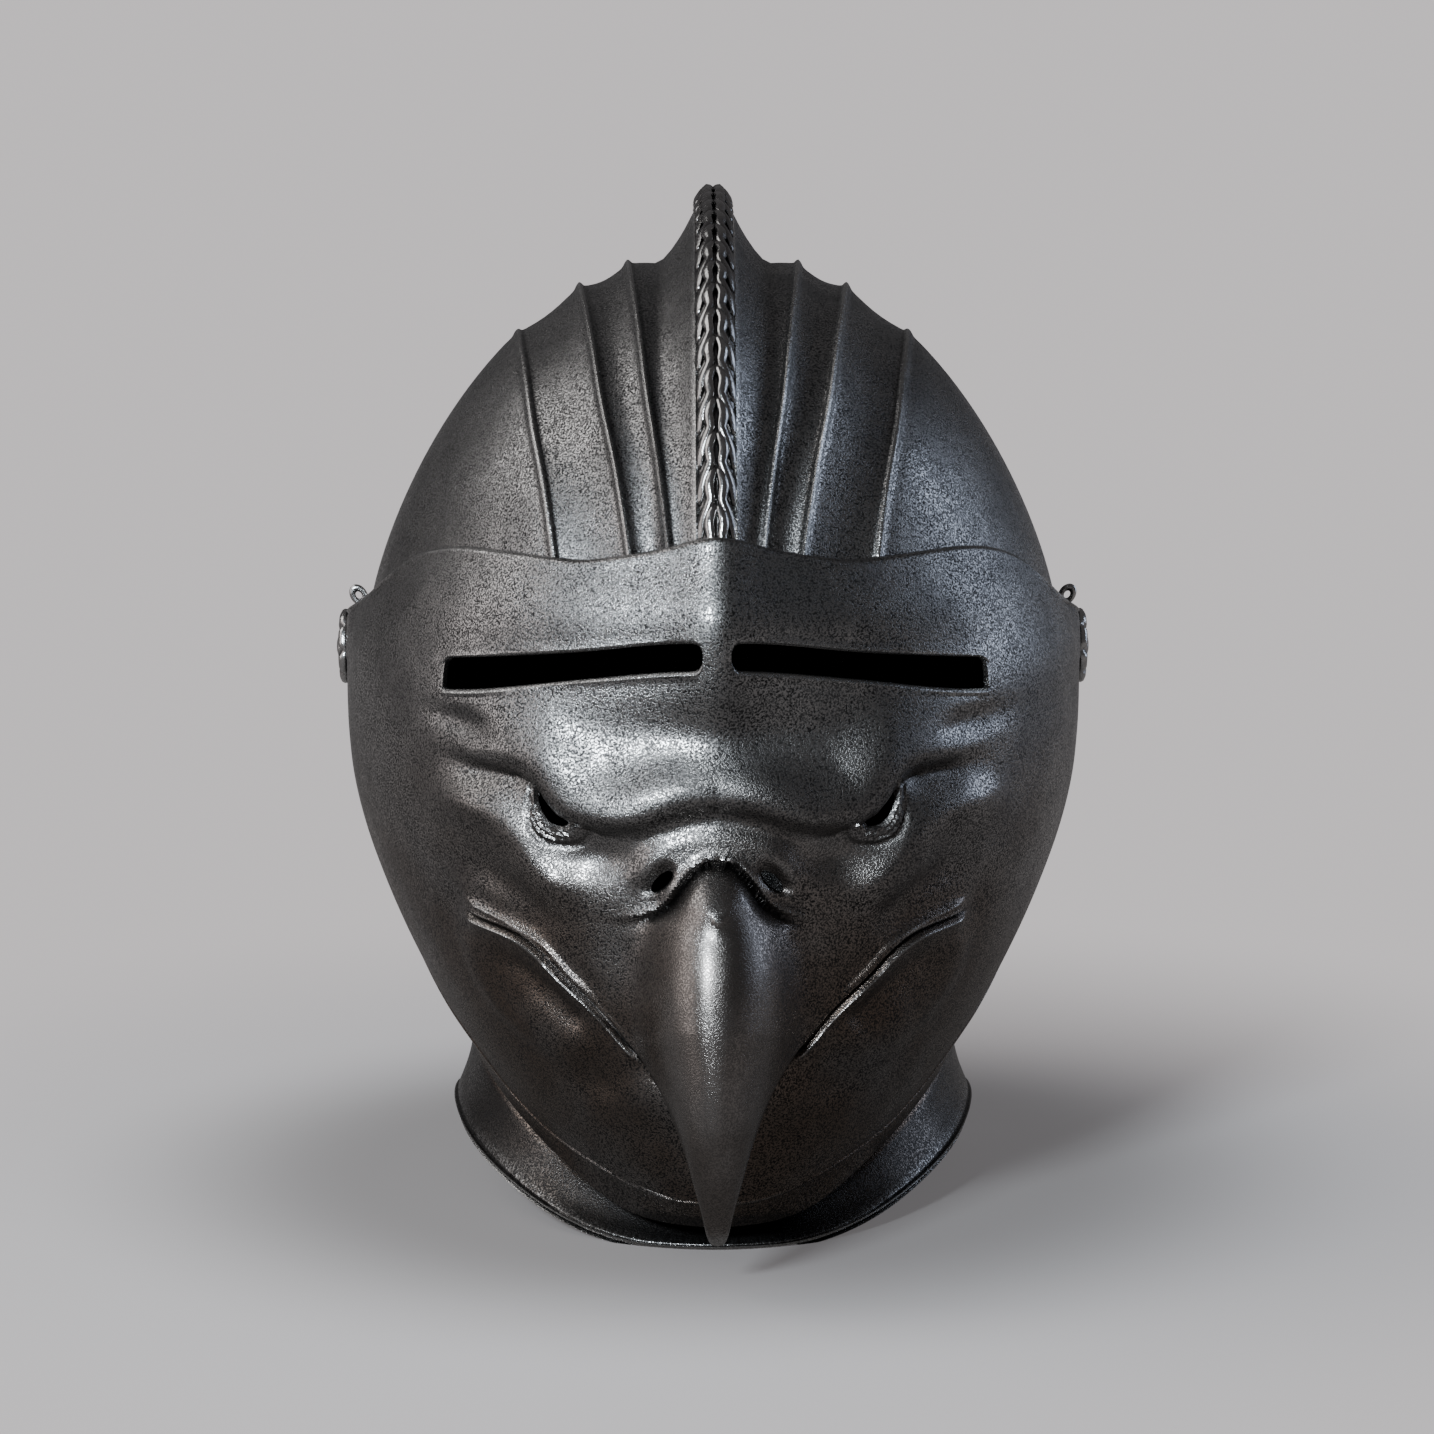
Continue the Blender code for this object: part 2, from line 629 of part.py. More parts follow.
# the collar's lowest edges are filed flat, so the helmet stands
bpy.ops.mesh.primitive_cube_add(size=1, location=(0, 0.001 * shiftY, 0.001 * floorZ - 0.01))
floorCut = bpy.context.object
floorCut.name = "floor_cut"
floorCut.scale = (0.3, 0.4, 0.02)
bpy.ops.object.transform_apply(location=True, rotation=True, scale=True)
asCutter(floorCut)
cut(bevor, floorCut)
cut(skull, floorCut)

# pivots, rosettes and lugs


def rod(name, radius, depth, x, steps=16):
    place = (0.001 * x, 0.001 * shiftY, 0.001 * pivotZ)
    bpy.ops.mesh.primitive_cylinder_add(vertices=steps, radius=0.001 * radius, depth=0.001 * depth,
                                        location=place, rotation=(0, math.pi / 2, 0))
    ob = bpy.context.object
    ob.name = name
    bpy.ops.object.transform_apply(location=True, rotation=True, scale=True)
    return ob


def lathe(name, profile, side, steps=12):
    # profile of (x, radius) turned about the pivot line
    verts = []
    for i in range(steps):
        t = 2 * math.pi * i / steps
        for x, r in profile:
            verts.append((side * x, r * math.cos(t), r * math.sin(t)))
    n = len(profile)
    faces = []
    for i in range(steps):
        for j in range(n):
            a, b = i * n + j, i * n + (j + 1) % n
            c, d = ((i + 1) % steps) * n + (j + 1) % n, ((i + 1) % steps) * n + j
            faces.append((a, b, c, d))
    return meshObject(name, verts, faces, 1e-6)


def rosette(name, side):
    steps = 24
    rings = [(3.5, 2.7), (6.0, 2.75), (9.4, 2.1), (rosetteR, 0.9)]
    verts = []
    for i in range(steps):
        t = 2 * math.pi * i / steps
        lobe = abs(math.cos(4 * t))
        for k, (r, h) in enumerate(rings):
            grow = (1.0, 1.0, 0.97 + 0.03 * lobe, 0.92 + 0.09 * lobe)[k]
            lift = (0.0, 0.0, 0.45 * (lobe - 0.5), 0.0)[k]
            verts.append((side * (flatX + 0.35 + h + lift), r * grow * math.cos(t), r * grow * math.sin(t)))
        for r in (rosetteR * (0.92 + 0.09 * lobe), 3.5):
            verts.append((side * (flatX + 0.35), r * math.cos(t), r * math.sin(t)))
    n = len(rings) + 2
    faces = []
    for i in range(steps):
        for j in range(n):
            a, b = i * n + j, i * n + (j + 1) % n
            c, d = ((i + 1) % steps) * n + (j + 1) % n, ((i + 1) % steps) * n + j
            faces.append((a, b, c, d))
    ob = meshObject(name, verts, faces)
    ob.data.materials.append(pinSteel)
    return ob


def lug(name, side):
    # a small slotted lug that stands on the edge of the visor's arm
    bpy.ops.mesh.primitive_torus_add(major_segments=12, minor_segments=5, major_radius=0.0014,
                                     minor_radius=0.00065, rotation=(math.pi / 2, 0, 0))
    ob = bpy.context.object
    ob.name = name
    ob.scale = (1.0, 1.2, 1.0)
    bpy.ops.object.transform_apply(location=False, rotation=True, scale=True)
    ob.location = (side * 0.105, 0.001 * (shiftY - 6), 0.001 * (pivotZ + 15.7))
    bpy.ops.object.transform_apply(location=True, rotation=False, scale=False)
    ob.data.materials.append(pinSteel)
    return ob


inside = flatX - 3 * plate - 2 * gap
for side, tag in ((-1, "left"), (1, "right")):
    hole = rod("pivot_hole_" + tag, boltHole, 24, side * (flatX - 4), 16)
    asCutter(hole)
    for ob in (skull, bevor, visor):
        cut(ob, hole)
    top = flatX + 0.35 + 2.75
    profile = [(inside - 2.0, 0.001), (inside - 2.0, 4.6), (inside - 0.4, 5.4), (inside - 0.4, boltR),
               (top + 0.35, boltR), (top + 0.35, 4.6), (top + 0.9, 4.0), (top + 1.4, 2.2),
               (top + 1.5, 0.001)]
    bolt = lathe("pivot_bolt_" + tag, profile, side)
    bolt.data.materials.append(pinSteel)
    rosette("rosette_" + tag, side)
    lug("lug_" + tag, side)
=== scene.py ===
import bpy
import math
import numpy as np
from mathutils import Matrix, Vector


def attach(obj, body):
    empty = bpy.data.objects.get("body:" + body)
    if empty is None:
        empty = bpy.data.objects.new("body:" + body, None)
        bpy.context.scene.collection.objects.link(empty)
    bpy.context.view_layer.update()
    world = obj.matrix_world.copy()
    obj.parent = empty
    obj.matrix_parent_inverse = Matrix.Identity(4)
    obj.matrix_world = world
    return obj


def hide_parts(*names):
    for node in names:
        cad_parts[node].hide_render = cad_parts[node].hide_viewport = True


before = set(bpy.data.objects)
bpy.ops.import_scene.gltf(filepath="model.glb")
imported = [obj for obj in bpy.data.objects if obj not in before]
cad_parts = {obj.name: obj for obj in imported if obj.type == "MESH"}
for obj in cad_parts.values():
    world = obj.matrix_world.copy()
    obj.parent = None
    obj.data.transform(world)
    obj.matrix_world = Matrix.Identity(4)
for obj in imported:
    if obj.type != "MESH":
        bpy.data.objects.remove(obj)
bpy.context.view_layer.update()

# Lengths are in millimetres and places are measured from the pivots, until a mesh is made.
helmet = {
    "pivotZ": 156.0,
    "shiftY": 17.9,
    "plate": 1.8,
    "gap": 1.3,
    "flatX": 108.2,
    "sideTurn": 99.0,
    "pivotHole": 3.35,
}
plate, gap, flatX, sideTurn = (helmet[k] for k in ("plate", "gap", "flatX", "sideTurn"))
pivots = np.array([0, helmet["shiftY"], helmet["pivotZ"]])


def smooth(table):
    # a curve through a short table of (at, value)
    pts = np.array(sorted(table), float)
    xs, ys = pts[:, 0], pts[:, 1]
    slope = np.gradient(ys, xs)

    def at(x):
        x = np.clip(x, xs[0], xs[-1])
        i = np.clip(np.searchsorted(xs, x) - 1, 0, len(xs) - 2)
        h = xs[i + 1] - xs[i]
        t = (x - xs[i]) / h
        low = (2 * t ** 3 - 3 * t ** 2 + 1) * ys[i] + (t ** 3 - 2 * t ** 2 + t) * h * slope[i]
        return low + (3 * t ** 2 - 2 * t ** 3) * ys[i + 1] + (t ** 3 - t ** 2) * h * slope[i + 1]
    return at


def step(x, low, high):
    t = np.clip((x - low) / (high - low), 0, 1)
    return t * t * (3 - 2 * t)


def bell(x, width):
    return np.exp(-(x / width) ** 2)


def chain(points, count=60):
    # a smooth line through (x, z) points, by length
    pts = np.array(points, float)
    run = np.concatenate([[0], np.cumsum(np.hypot(*np.diff(pts, axis=0).T))])
    t = np.linspace(0, run[-1], count)
    return np.stack([smooth(zip(run, column))(t) for column in pts.T], 1)


def track(x, z, points, count=60):
    # distance to a line, the same with a sign for its side, and the share of the way along it
    # the sign is positive above a line that is listed with x going up, and below one listed with x going down
    line = chain(points, count)
    best = np.full(x.shape, 1e9)
    side = np.zeros(x.shape)
    along = np.zeros(x.shape)
    for i in range(len(line) - 1):
        (x0, z0), (x1, z1) = line[i], line[i + 1]
        dx, dz = x1 - x0, z1 - z0
        t = np.clip(((x - x0) * dx + (z - z0) * dz) / (dx * dx + dz * dz), 0, 1)
        ex, ez = x - x0 - t * dx, z - z0 - t * dz
        d = np.hypot(ex, ez)
        near = d < best
        best = np.where(near, d, best)
        side = np.where(near, np.sign(ez * dx - ex * dz), side)
        along = np.where(near, (i + t) / (len(line) - 1), along)
    return best, side * best, along


def select(ob):
    bpy.ops.object.select_all(action='DESELECT')
    ob.select_set(True)
    bpy.context.view_layer.objects.active = ob


def toWorld(points):
    return (np.asarray(points, float) + pivots) * 0.001


def addShape(add, name, **values):
    # runs a primitive's operator with nothing else selected
    bpy.ops.object.select_all(action='DESELECT')
    add(**values)
    ob = bpy.context.object
    ob.name = name
    return ob


def getPoints(ob, what="co"):
    # the places of all points, in metres, or their normals
    values = np.empty(len(ob.data.vertices) * 3)
    ob.data.vertices.foreach_get(what, values)
    return values.reshape(-1, 3)


def setPoints(ob, points):
    ob.data.vertices.foreach_set("co", points.ravel())
    ob.data.update()


def setValues(ob, name, values):
    # a number for every point, which the finishes read by its name
    layer = ob.data.attributes.new(name, 'FLOAT', 'POINT')
    layer.data.foreach_set("value", values.astype(np.float32))


def faceOut(ob):
    # flips the faces if most of them look in at the pivots
    middle = pivots * 0.001
    out = sum(float(np.dot(p.normal, np.array(p.center) - middle)) * p.area for p in ob.data.polygons)
    if out < 0:
        ob.data.flip_normals()


weldGap = 0.00002  # metres


def cleanFaces(ob, weld=0.0):
    # joins points that fall together, where asked, and makes all faces agree
    select(ob)
    bpy.ops.object.mode_set(mode='EDIT')
    bpy.ops.mesh.select_all(action='SELECT')
    if weld:
        bpy.ops.mesh.remove_doubles(threshold=weld)
    bpy.ops.mesh.normals_make_consistent(inside=False)
    bpy.ops.object.mode_set(mode='OBJECT')


def plateGrid(name, points):
    # a grid bent to the given rows and columns of points
    rows, cols = points.shape[:2]
    ob = addShape(bpy.ops.mesh.primitive_grid_add, name, x_subdivisions=cols - 1, y_subdivisions=rows - 1,
                  size=0.2)
    assert len(ob.data.vertices) == rows * cols
    setPoints(ob, toWorld(points))
    faceOut(ob)
    return ob


def bothSides(half):
    # adds the mirrored half to rows that start in the middle
    left = half[:, :0:-1].copy()
    left[..., 0] *= -1
    return np.concatenate([left, half], 1)


def applyModifier(ob, kind, **values):
    select(ob)
    mod = ob.modifiers.new(kind.lower(), kind)
    for key, value in values.items():
        setattr(mod, key, value)
    bpy.ops.object.modifier_apply(modifier=mod.name)


def thicken(ob, inner=None):
    # gives the plate its wall; a given inner sheet sets the wall's inner side
    count = len(ob.data.vertices)
    applyModifier(ob, 'SOLIDIFY', thickness=plate * 0.001, offset=-1, use_even_offset=False, use_rim=True)
    if inner is not None:
        sheet, keep = inner
        co = getPoints(ob)
        assert len(co) == 2 * count
        co[count:] = toWorld(sheet.reshape(-1, 3)[keep])
        setPoints(ob, co)


def relativeHeight(ob, spread=3, scale=0.35):
    # bright on edges that stand proud, partly worn steel and partly a painted highlight, and dark in hollows
    # as painted shade: the mean bend of the surface
    co, normal = getPoints(ob) * 1000, getPoints(ob, "normal")
    edges = np.empty(len(ob.data.edges) * 2, int)
    ob.data.edges.foreach_get("vertices", edges)
    a, b = edges.reshape(-1, 2).T
    a, b = np.concatenate([a, b]), np.concatenate([b, a])
    length = np.maximum(np.linalg.norm(co[a] - co[b], axis=1), 0.05)
    total, bend = np.zeros(len(co)), np.zeros(len(co))
    np.add.at(total, a, 1 / length)
    np.add.at(bend, a, 1 / length * ((co[a] - co[b]) * normal[a]).sum(1) / length)
    bend /= np.maximum(total, 1e-6)
    links = np.maximum(np.bincount(a, minlength=len(co)), 1)
    for _ in range(spread):
        mean = np.zeros(len(co))
        np.add.at(mean, a, bend[b])
        bend = 0.4 * bend + 0.6 * mean / links
    setValues(ob, "worn", np.clip(0.5 + bend / scale, 0, 1))


def pointMask(ob, name, share):
    # a share from 0 to 1 for every point, worked out from its place in millimetres from the pivots
    setValues(ob, name, np.clip(share(*(getPoints(ob) * 1000 - pivots).T), 0, 1))


def insideMask(ob):
    # 1 on the faces that look in towards the wearer's head, 0 outside; the finishes paint shade there
    out = (getPoints(ob) * 1000 - pivots) * (1, 1, 0.35)
    inward = -(out * getPoints(ob, "normal")).sum(1) / np.maximum(np.linalg.norm(out, axis=1), 1)
    setValues(ob, "inside", step(inward, 0.15, 0.45))


plateAngle = 35  # edges sharper than this many degrees are left crisp on the plates


def finishPiece(ob, body, material, replaces, angle):
    select(ob)
    bpy.ops.object.shade_smooth_by_angle(angle=math.radians(angle))
    ob.data.materials.clear()
    ob.data.materials.append(material)
    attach(ob, body)
    if replaces:
        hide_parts(*replaces)


# steel finishes; heights here are in metres above the floor
steel = {
    "dark": (0.020, 0.019, 0.019),
    "mid": (0.300, 0.292, 0.288),
    "bright": (0.46, 0.455, 0.447),
    "brown": (0.118, 0.076, 0.049),
    "brownHeights": (0.165, 0.065),
    "pitsPerMetre": 1500.0,
    "grainPerMetre": 2300.0,
    "cloudsPerMetre": 30.0,
    "patchesPerMetre": 140.0,
    "blotchesPerMetre": 24.0,
    "grainHeight": 0.9,
    "roughness": (0.30, 0.23),
    "bumpStrength": 0.34,
    "bumpHeight": 0.00016,
    # how far proud edges are lightened, partly as wear and partly as a painted highlight
    "edgeLight": 0.8,
    "insidePaintedShade": 0.85,
}


def nodeMaker(tree):
    # makes a node, sets its options, and links or fills its inputs
    def make(kind, *links, **options):
        node = tree.nodes.new(kind)
        for key, value in options.items():
            setattr(node, key, value)
        for where, what in links:
            if isinstance(what, bpy.types.NodeSocket):
                tree.links.new(what, node.inputs[where])
            else:
                node.inputs[where].default_value = what
        return node
    return make


def maths(make, operation, *values):
    return make('ShaderNodeMath', *enumerate(values), operation=operation).outputs[0]


def times(make, first, second):
    return maths(make, 'MULTIPLY', first, second)


def noise(make, place, scale, detail, roughness=0.5):
    return make('ShaderNodeTexNoise', ("Vector", place), ("Scale", scale), ("Detail", detail),
                ("Roughness", roughness)).outputs["Fac"]


def stored(make, name):
    # a number that setValues left on the points
    return make('ShaderNodeAttribute', attribute_name=name).outputs["Fac"]


def between(make, value, low, high, toLow=0.0, toHigh=1.0):
    return make('ShaderNodeMapRange', ("Value", value), ("From Min", low), ("From Max", high),
                ("To Min", toLow), ("To Max", toHigh), interpolation_type='SMOOTHSTEP').outputs[0]


def blend(make, factor, first, second):
    node = make('ShaderNodeMix', (0, factor), data_type='RGBA')
    for place, colour in ((6, first), (7, second)):
        if isinstance(colour, bpy.types.NodeSocket):
            node.id_data.links.new(colour, node.inputs[place])
        else:
            node.inputs[place].default_value = (*colour[:3], 1)
    return node.outputs[2]


def pittedGroup():
    # dense fine pits, a brushed grain and slow clouds, shared by every plate
    group = bpy.data.node_groups.new("pittedSurface", 'ShaderNodeTree')
    face = group.interface
    face.new_socket("Density", in_out='INPUT', socket_type='NodeSocketFloat').default_value = 0.5
    for name in ("Pits", "Clouds", "Height"):
        face.new_socket(name, in_out='OUTPUT', socket_type='NodeSocketFloat')
    make = nodeMaker(group)
    given = make('NodeGroupInput')
    gone = make('NodeGroupOutput')
    place = make('ShaderNodeTexCoord').outputs["Object"]
    small, big = (make('ShaderNodeTexVoronoi', ("Vector", place), ("Scale", steel["pitsPerMetre"] * size),
                       ("Randomness", 1.0), feature='F1').outputs["Distance"] for size in (1.0, 0.36))
    fine = noise(make, place, steel["grainPerMetre"] * 0.8, 2.0, 0.6)
    grain = noise(make, place, steel["grainPerMetre"], 1.0)
    clouds = noise(make, place, steel["cloudsPerMetre"], 5.0, 0.62)
    patch = noise(make, place, steel["patchesPerMetre"], 3.0)
    dots = between(make, small, 0.26, 0.50, 1.0, 0.0)
    holes = between(make, big, 0.10, 0.20, 0.8, 0.0)
    noisy = between(make, fine, 0.54, 0.42)
    share = between(make, patch, 0.30, 0.62, 0.85, 1.0)
    worn = times(make, maths(make, 'MAXIMUM', times(make, dots, 0.7), noisy), share)
    worn = maths(make, 'MAXIMUM', worn, times(make, holes, share))
    pits = make('ShaderNodeMath', (0, worn), (1, given.outputs["Density"]), operation='MULTIPLY',
                use_clamp=True)
    low = times(make, worn, -1.0)
    high = maths(make, 'MULTIPLY_ADD', grain, steel["grainHeight"], low)
    group.links.new(pits.outputs[0], gone.inputs["Pits"])
    group.links.new(clouds, gone.inputs["Clouds"])
    group.links.new(high, gone.inputs["Height"])
    return group


pitted = pittedGroup()


def steelMaterial(name, tone=1.0, brownLow=0.0, density=1.0, bumpiness=1.0, rough=0.0, flange=False):
    mat = bpy.data.materials.new(name)
    mat.use_nodes = True
    tree = mat.node_tree
    make = nodeMaker(tree)
    shader = tree.nodes["Principled BSDF"]
    surface = make('ShaderNodeGroup', node_tree=pitted)
    surface.inputs["Density"].default_value = density
    pits, clouds = surface.outputs["Pits"], surface.outputs["Clouds"]
    coord = make('ShaderNodeTexCoord').outputs["Object"]
    worn, polish, inside = (stored(make, name) for name in ("worn", "polish", "inside"))
    low, mid, high, brown = (tuple(c * tone for c in steel[k]) for k in ("dark", "mid", "bright", "brown"))
    base = blend(make, between(make, clouds, 0.34, 0.66), [c * 0.66 for c in mid], [c * 1.12 for c in mid])
    if brownLow:
        # brown and blotchy low down, less where the steel is polished
        up = make('ShaderNodeSeparateXYZ', (0, coord)).outputs["Z"]
        blotch = noise(make, coord, steel["blotchesPerMetre"], 3.0)
        amount = times(make, between(make, up, *steel["brownHeights"], 0.0, brownLow),
                       between(make, blotch, 0.30, 0.62, 0.35, 1.0))
        amount = times(make, amount, maths(make, 'MULTIPLY_ADD', polish, -0.75, 1.0))
        base = blend(make, amount, base, brown)
    if flange:
        # the collar: dark, with a filed band along its rim and a bright turned edge
        share = stored(make, "collar")
        axes = make('ShaderNodeSeparateXYZ', (0, coord))
        around = maths(make, 'ARCTAN2', axes.outputs["X"], axes.outputs["Y"])
        lane = make('ShaderNodeCombineXYZ', (0, times(make, around, 95.0)),
                    (1, times(make, share, 5.0))).outputs[0]
        strokes = noise(make, lane, 1.0, 2.0)
        turnedOut = times(make, between(make, share, 0.02, 0.10), 0.8)
        base = blend(make, turnedOut, base, [c * 0.16 for c in mid])
        band = times(make, between(make, share, 0.70, 0.84), between(make, strokes, 0.42, 0.60))
        base = blend(make, times(make, band, 0.75), base, [c * 0.9 for c in mid])
        base = blend(make, between(make, share, 0.945, 0.97, 0.0, 0.8), base, mid)
    edge = between(make, worn, 0.62, 1.0)
    # proud edges lighter: worn steel and a painted highlight
    base = blend(make, times(make, edge, steel["edgeLight"]), base, high)
    # hollows darker: painted shade
    base = blend(make, between(make, worn, 0.40, 0.0, 0.0, 0.8), base, low)
    clean = maths(make, 'MULTIPLY_ADD', polish, -0.72, 1.0)
    pitAmount = times(make, pits, maths(make, 'MULTIPLY_ADD', edge, -0.5, 1.0))
    pitAmount = times(make, pitAmount, clean)
    # painted shade: faces that look in towards the head are darkened near black
    base = blend(make, times(make, inside, steel["insidePaintedShade"]), base, low)
    tree.links.new(blend(make, pitAmount, base, low), shader.inputs["Base Color"])
    glossy = between(make, clouds, 0.3, 0.7, *(value + rough for value in steel["roughness"]))
    rougher = maths(make, 'MULTIPLY_ADD', pitAmount, 0.2, glossy)
    rougher = maths(make, 'MULTIPLY_ADD', polish, -0.05, rougher)
    tree.links.new(maths(make, 'MULTIPLY_ADD', edge, -0.06, rougher), shader.inputs["Roughness"])
    shader.inputs["Metallic"].default_value = 1.0
    relief = times(make, surface.outputs["Height"], clean)
    bump = make('ShaderNodeBump', ("Height", relief), ("Strength", steel["bumpStrength"] * bumpiness),
                ("Distance", steel["bumpHeight"]))
    tree.links.new(bump.outputs[0], shader.inputs["Normal"])
    return mat


plateSteel = steelMaterial("skullSteel", flange=True)
maskSteel = steelMaterial("maskSteel", brownLow=0.8)
collarSteel = steelMaterial("collarSteel", brownLow=0.8, flange=True)
braidSteel = steelMaterial("braidSteel", tone=1.15, density=0.3, bumpiness=0.45, rough=-0.08)
fittingSteel = steelMaterial("fittingSteel", tone=1.15, density=0.4, bumpiness=0.5)
print("finishes ready")

# the mask's outer surface: half width and reach forward at a height above the pivots
maskW = smooth([(60, 86), (48, 93), (30, 101.2), (20, 104.6), (8, 108.3), (-8, 108.9), (-22, 108.6),
                (-36, 107.2), (-50, 104), (-64, 99.2), (-78, 93.4), (-92, 86.6), (-106, 79.2), (-120, 71),
                (-135, 60.5), (-150, 47)])
maskF = smooth([(60, 120), (48, 125), (20, 133), (0, 136), (-20, 139.5), (-36, 141), (-60, 140), (-90, 135.5),
                (-115, 130), (-130, 125.5), (-140, 121), (-150, 114)])
keel = smooth([(60, 9), (30, 9), (12, 8), (0, 5), (-12, 2), (-24, 0.4), (-34, 0), (-44, 0), (-150, 0)])
maskBack = 100.0


def maskBase(turn, z, inset):
    # the plain surface, an oval in front and straight sides behind, drawn to the flats round the pivots
    a = np.radians(turn)
    power = 1 - 0.05 * np.clip((z + 50) / 50, 0, 1)
    w = maskW(z) - inset
    f = maskF(z) - inset
    c, s = np.cos(a), np.sin(a)
    x = w * np.sign(s) * np.abs(s) ** power
    y = np.where(c > 0, -f * np.clip(c, 1e-9, None) ** power, -maskBack * c)
    x = np.where(c < 0, w * np.sign(s), x)
    k = np.clip((34 - np.hypot(y, z)) / 18, 0, 1)
    k = np.where(z > 0, k * k * (3 - 2 * k), 0)
    x = np.sign(x) * (np.abs(x) + (flatX - inset - np.abs(x)) * k)
    return np.sign(x) * np.minimum(np.abs(x), flatX - inset), y


# lines on one half of the mask as (x, z); ovals as middle x and z, half width, half height and tilt
mask = {
    "browLine": [(0, -25.0), (8, -26.0), (15, -28.6), (22, -30.6), (33, -31.0), (38, -30.2), (41, -29),
                 (43.2, -27.4), (45.3, -25), (47, -22.6), (48.8, -19.8), (51.5, -18), (58, -16.8), (66, -16),
                 (78, -13.5), (100, -9)],
    "browRise": [(0, 4.0), (10, 4.8), (20, 5.3), (32, 5.0), (40, 4.5), (46, 4.4), (51, 3.6), (58, 2.8),
                 (66, 1.5), (78, 0.4), (86, 0)],
    "browSoft": [(0, 4.2), (12, 4.2), (24, 2.8), (34, 1.0), (40, 0.2), (46, 0.35), (50, 0.9), (56, 2.0),
                 (66, 3.5), (80, 6)],
    "crease": [(48.2, -21.4), (51, -19.6), (58, -18.8), (66, -18.2), (78, -15.5)],
    "noseEdge": [(0, -27.0), (9, -28.6), (16.5, -31.6), (20.1, -35), (23.2, -42), (25.5, -48)],
    "cere": [(34, -56.4), (28, -56.2), (22.5, -54.8), (18.4, -53.2), (14.9, -51.2), (12.6, -48.8),
             (11.0, -46.2), (9.1, -43.2), (6.6, -40.2), (3.8, -38.3), (0, -37.5)],
    "eyeLine": [(48.2, -21.8), (47.6, -25.2), (45.9, -28.2), (43.4, -30.2), (40.6, -30.2)],
    "eyeCut": [(48.0, -21.8), (46.7, -24.3), (44.9, -26.6), (42.8, -28.5), (40.9, -29.2), (40.2, -30.0),
               (40.8, -30.8), (42.6, -31.1), (44.7, -30.6), (46.6, -28.8), (48.0, -26.3), (48.5, -23.9)],
    "nostril": (16.0, -43.4, 6.2, 3.6, -46.0),
    "nostrilHole": (14.9, -44.6, 4.1, 1.6, -48.0),
    "temple": (70, -6.2, 11, 4.6, 8),
    "cheek": [(84, -24), (75, -27.5), (66, -28), (58, -31), (53, -36), (49, -42), (43, -47.5), (34, -51)],
    "cheekUnder": [(74, -42), (64, -46.5), (56, -51), (48, -57), (41, -64)],
    "upperEdge": [(70.5, -56.3), (65.9, -58), (61.4, -59.5), (56, -61.4), (50.6, -63.8), (47.1, -66),
                  (44.1, -69), (41.3, -72), (36.8, -76.2), (31, -81.6)],
    "mouth": [(70.5, -60), (66, -61.4), (62, -62.3), (58.5, -63), (54.8, -64.1), (51.3, -66), (47.3, -69),
              (43.5, -72.9), (38.3, -77.6), (34, -81.6), (29.5, -86.1), (24.4, -92), (20.5, -95.6),
              (18, -97.6), (12, -98.2), (0, -98.6)],
    "padLine": [(69.5, -66), (66.5, -79), (57, -91), (45.8, -97), (35.4, -98)],
    "lipHollow": [(64, -69), (56, -73), (48.7, -78), (42, -84), (36, -89.5)],
    "jaw": [(56, -84), (47, -87.5), (40, -91.5), (33, -98)],
    "sightTop": [(4.2, 20.5), (6.2, 20.4), (37.5, 16.3), (72.8, 11.2), (76.2, 10.6)],
    "sightBottom": [(3.6, 13.1), (4.9, 13.0), (37.3, 8.9), (74.5, 2.4), (76.2, 2.2)],
    "sightEnds": (3.9, 75.6),
    "sightStraight": 76,
    "sightCorner": 2.6,
    "mouthCorner": (70.5, -60),
}
browRise, browSoft = smooth(mask["browRise"]), smooth(mask["browSoft"])
mouthZ = smooth(mask["mouth"])


def ovalField(x, z, midX, midZ, half, tall, tilt):
    # distance up across an oval, and from its middle as a share of its size
    c, s = math.cos(math.radians(tilt)), math.sin(math.radians(tilt))
    u = (x - midX) * c + (z - midZ) * s
    v = -(x - midX) * s + (z - midZ) * c
    return v, np.hypot(u / half, v / tall)


def stroke(ax, z, line, lift, above, below, start, end):
    # a soft ridge or furrow along a line, with its own width on each side; it fades in up to the share start
    # of its length and out from the share end
    near, side, along = track(ax, z, line)
    side = side * np.sign(line[-1][0] - line[0][0])
    width = np.where(side > 0, above, below)
    return lift * bell(near, width) * step(along, 0, start) * (1 - step(along, end, 1))


